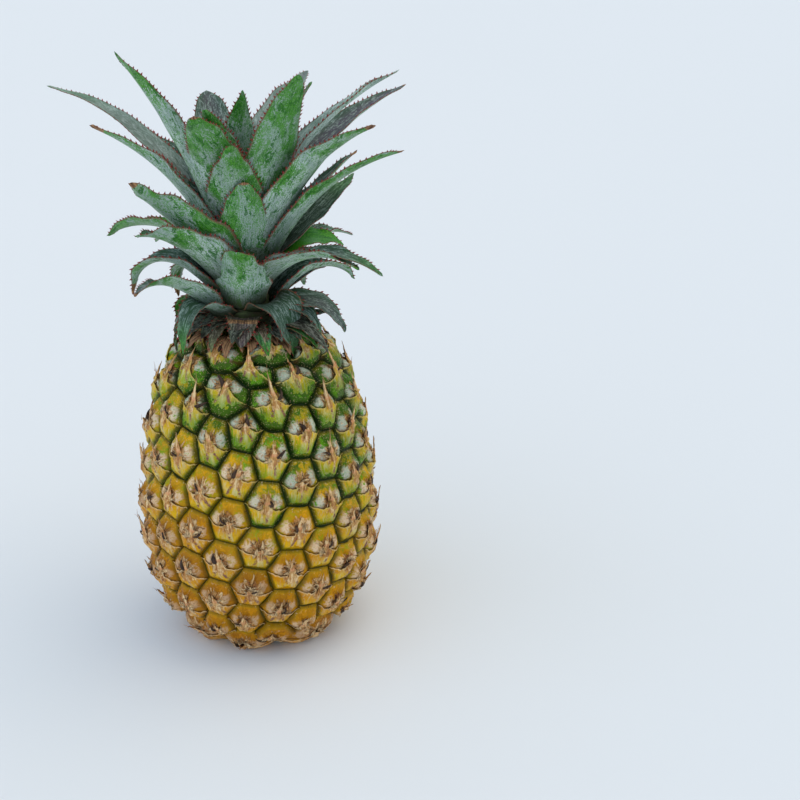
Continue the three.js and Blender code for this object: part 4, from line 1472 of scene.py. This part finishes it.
def stem_solid():
    """The crown's stem, ringed with the scars of the leaves."""
    points = []
    broad, narrow = SCAR_HEIGHTS
    for height in np.linspace(STEM_OUTLINE[0][0], STEM_OUTLINE[-1][0], STEM_RINGS):
        for i in range(STEM_SIDES):
            angle = 2 * math.pi * i / STEM_SIDES
            scar = broad * math.sin(height * 1.9 + 2 * angle) + narrow * math.sin(height * 4.1 - 5 * angle)
            spot = around(angle, stem_radius(height) + min(scar, 0.25), height)
            points.append(spot + np.array([CROWN_OFFSET, 0, 0]))
    solid = Solid()
    solid.add(points, sleeve(STEM_RINGS, STEM_SIDES))
    return solid


# ---------------------------------------------------------------- operators


def settle(made, node):
    """Sets a piece on the model's only body, in place of a node where one is named."""
    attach(made, "root")
    if node:
        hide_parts(node)


# The ways to the two lights, how many degrees wide they look, and what the camera is aimed at, in metres.
KEY_WAY, KEY_SPREAD = (0.4, 0.12, 1.0), 50
FILL_WAY, FILL_SPREAD = (-0.8, -0.6, 0.7), 80
CAMERA_AIM = (0.073, 0, 0.125)
FLOOR_REACH = 12.0


class PINEAPPLE_OT_stage(bpy.types.Operator):
    """Floor, light and camera"""

    bl_idname = "pineapple.stage"
    bl_label = "Stage"

    def execute(self, context):
        look = context.scene.pineapple_stage
        finish = Finish("floor_paint")
        cloud = finish.noise(finish.place(), 1.2, 2)
        body = cloud.mix(look.floor, tuple(c * 0.97 for c in look.floor))
        mesh = bpy.data.meshes.new("floor")
        corners = [(x * FLOOR_REACH, y * FLOOR_REACH, 0) for x, y in ((-1, -1), (1, -1), (1, 1), (-1, 1))]
        mesh.from_pydata(corners, [], [(0, 1, 2, 3)])
        mesh.materials.append(finish.done(body, 0.8))
        floor = bpy.data.objects.new("floor", mesh)
        context.scene.collection.objects.link(floor)

        world = bpy.data.worlds.new("studio")
        world.use_nodes = True
        sky = world.node_tree.nodes["Background"]
        sky.inputs["Color"].default_value = (*look.sky, 1)
        sky.inputs["Strength"].default_value = look.sky_strength
        context.scene.world = world
        self.add_sun(context, "key", KEY_WAY, look.key_strength, KEY_SPREAD, look.key_tint)
        self.add_sun(context, "fill", FILL_WAY, look.fill_strength, FILL_SPREAD, look.fill_tint)

        camera_data = bpy.data.cameras.new("camera")
        camera_data.lens = look.lens
        camera = bpy.data.objects.new("camera", camera_data)
        tilt = look.camera_elevation
        way = Vector((0, -math.cos(tilt), math.sin(tilt)))
        camera.location = Vector(CAMERA_AIM) + way * look.camera_distance
        camera.rotation_euler = (math.pi / 2 - tilt, 0, 0)
        context.scene.collection.objects.link(camera)
        context.scene.camera = camera
        context.scene.view_settings.view_transform = "Standard"
        return {"FINISHED"}

    def add_sun(self, context, name, way, strength, spread, tint):
        data = bpy.data.lights.new(name, "SUN")
        data.energy, data.angle = strength, math.radians(spread)
        data.color = tint
        light = bpy.data.objects.new(name, data)
        light.rotation_euler = (-Vector(way)).to_track_quat("-Z", "Y").to_euler()
        context.scene.collection.objects.link(light)


class PINEAPPLE_OT_fruit(bpy.types.Operator):
    """The fruit's skin, grown as one body of fruitlets"""

    bl_idname = "pineapple.fruit"
    bl_label = "Fruit"

    def execute(self, context):
        settings = context.scene.pineapple_fruit
        made = Skin(settings).solid.to_object("fruit_skin", skin_finish(settings))
        settle(made, "fruit_body")
        return {"FINISHED"}


class PINEAPPLE_OT_bracts(bpy.types.Operator):
    """The bracts over the fruitlets, with their dry spines"""

    bl_idname = "pineapple.bracts"
    bl_label = "Bracts"

    def execute(self, context):
        settings = context.scene.pineapple_fruit
        finish = bract_finish(settings)
        for k, (low, high) in enumerate(zip(BRACT_BANDS, BRACT_BANDS[1:])):
            solid = Solid()
            for fruitlet in lattice.fruitlets:
                if low <= fruitlet.height < high:
                    add_bract(solid, fruitlet, settings)
            settle(solid.to_object(f"bracts_{k + 1}", finish), None)
        return {"FINISHED"}


class PINEAPPLE_OT_dried_flowers(bpy.types.Operator):
    """The dried flowers in the eyes, the fine hairs off the spines and the papery shreds"""

    bl_idname = "pineapple.dried_flowers"
    bl_label = "Dried flowers"

    def execute(self, context):
        look = context.scene.pineapple_fruit
        kinds = [
            ("dried_flowers", add_dried_flower, "dried_flower", look.flower, look.flower_light),
            ("spine_hairs", add_hair, "dry_hair", look.spine_tip, look.papery),
            ("papery_shreds", add_shreds, "dry_shred", look.papery_dark, look.papery_light),
        ]
        for name, add, finish_name, dark, light in kinds:
            solid = Solid()
            for fruitlet in lattice.fruitlets:
                add(solid, fruitlet, look)
            settle(solid.to_object(name, dried_finish(finish_name, dark, light)), None)
        return {"FINISHED"}


class PINEAPPLE_OT_stem(bpy.types.Operator):
    """The stem that carries the crown"""

    bl_idname = "pineapple.stem"
    bl_label = "Crown stem"

    def execute(self, context):
        made = stem_solid().to_object("stem_skin", stem_finish(context.scene.pineapple_crown))
        settle(made, "crown_stem")
        return {"FINISHED"}


class PINEAPPLE_OT_leaves(bpy.types.Operator):
    """Every leaf of the crown, one piece to a leaf"""

    bl_idname = "pineapple.leaves"
    bl_label = "Crown leaves"

    def execute(self, context):
        look = context.scene.pineapple_crown
        finish = leaf_finish("leaf_skin", look)
        for group, rows in LEAVES.items():
            for k, row in enumerate(rows):
                name = f"{group}_{k + 1}"
                solid = Solid()
                sweep_leaf(solid, name, row, leaf_line(row, leaf_start(row)), leaf_state(name), look)
                made = solid.to_object(f"{name}_blade", finish)
                settle(made, name)
        return {"FINISHED"}


class PINEAPPLE_OT_collar(bpy.types.Operator):
    """The small bracts between the crown and the fruit"""

    bl_idname = "pineapple.collar"
    bl_label = "Collar bracts"

    def execute(self, context):
        look = context.scene.pineapple_crown
        solids = {"leaf": Solid(), "dried_leaf": Solid()}
        add_collar_bracts(solids, look)
        for slot, solid in solids.items():
            settle(solid.to_object(f"collar_bracts_{slot}", leaf_finish(f"collar_{slot}", look)), None)
        return {"FINISHED"}


class PINEAPPLE_PT_panel(bpy.types.Panel):
    """Lists the steps that build the pineapple"""

    bl_idname = "PINEAPPLE_PT_panel"
    bl_label = "Pineapple"
    bl_space_type = "VIEW_3D"
    bl_region_type = "UI"
    bl_category = "Pineapple"

    def draw(self, context):
        for operator in OPERATORS:
            self.layout.operator(operator.bl_idname)
        for name in SETTINGS:
            box = self.layout.box()
            group = getattr(context.scene, name)
            for field in group.__annotations__:
                box.prop(group, field, text=field.replace("_", " ").capitalize())


OPERATORS = [
    PINEAPPLE_OT_stage,
    PINEAPPLE_OT_fruit,
    PINEAPPLE_OT_bracts,
    PINEAPPLE_OT_dried_flowers,
    PINEAPPLE_OT_stem,
    PINEAPPLE_OT_leaves,
    PINEAPPLE_OT_collar,
]
SETTINGS = {
    "pineapple_fruit": PineappleFruitSettings,
    "pineapple_crown": PineappleCrownSettings,
    "pineapple_stage": PineappleStageSettings,
}


def register():
    for group in SETTINGS.values():
        bpy.utils.register_class(group)
    for name, group in SETTINGS.items():
        setattr(bpy.types.Scene, name, PointerProperty(type=group))
    for operator in OPERATORS:
        bpy.utils.register_class(operator)
    bpy.utils.register_class(PINEAPPLE_PT_panel)


def unregister():
    bpy.utils.unregister_class(PINEAPPLE_PT_panel)
    for operator in reversed(OPERATORS):
        bpy.utils.unregister_class(operator)
    for name in SETTINGS:
        delattr(bpy.types.Scene, name)
    for group in SETTINGS.values():
        bpy.utils.unregister_class(group)


def main():
    register()
    bpy.ops.pineapple.stage()
    bpy.ops.pineapple.fruit()
    bpy.ops.pineapple.bracts()
    bpy.ops.pineapple.dried_flowers()
    bpy.ops.pineapple.stem()
    bpy.ops.pineapple.leaves()
    bpy.ops.pineapple.collar()


if __name__ == "__main__":
    main()
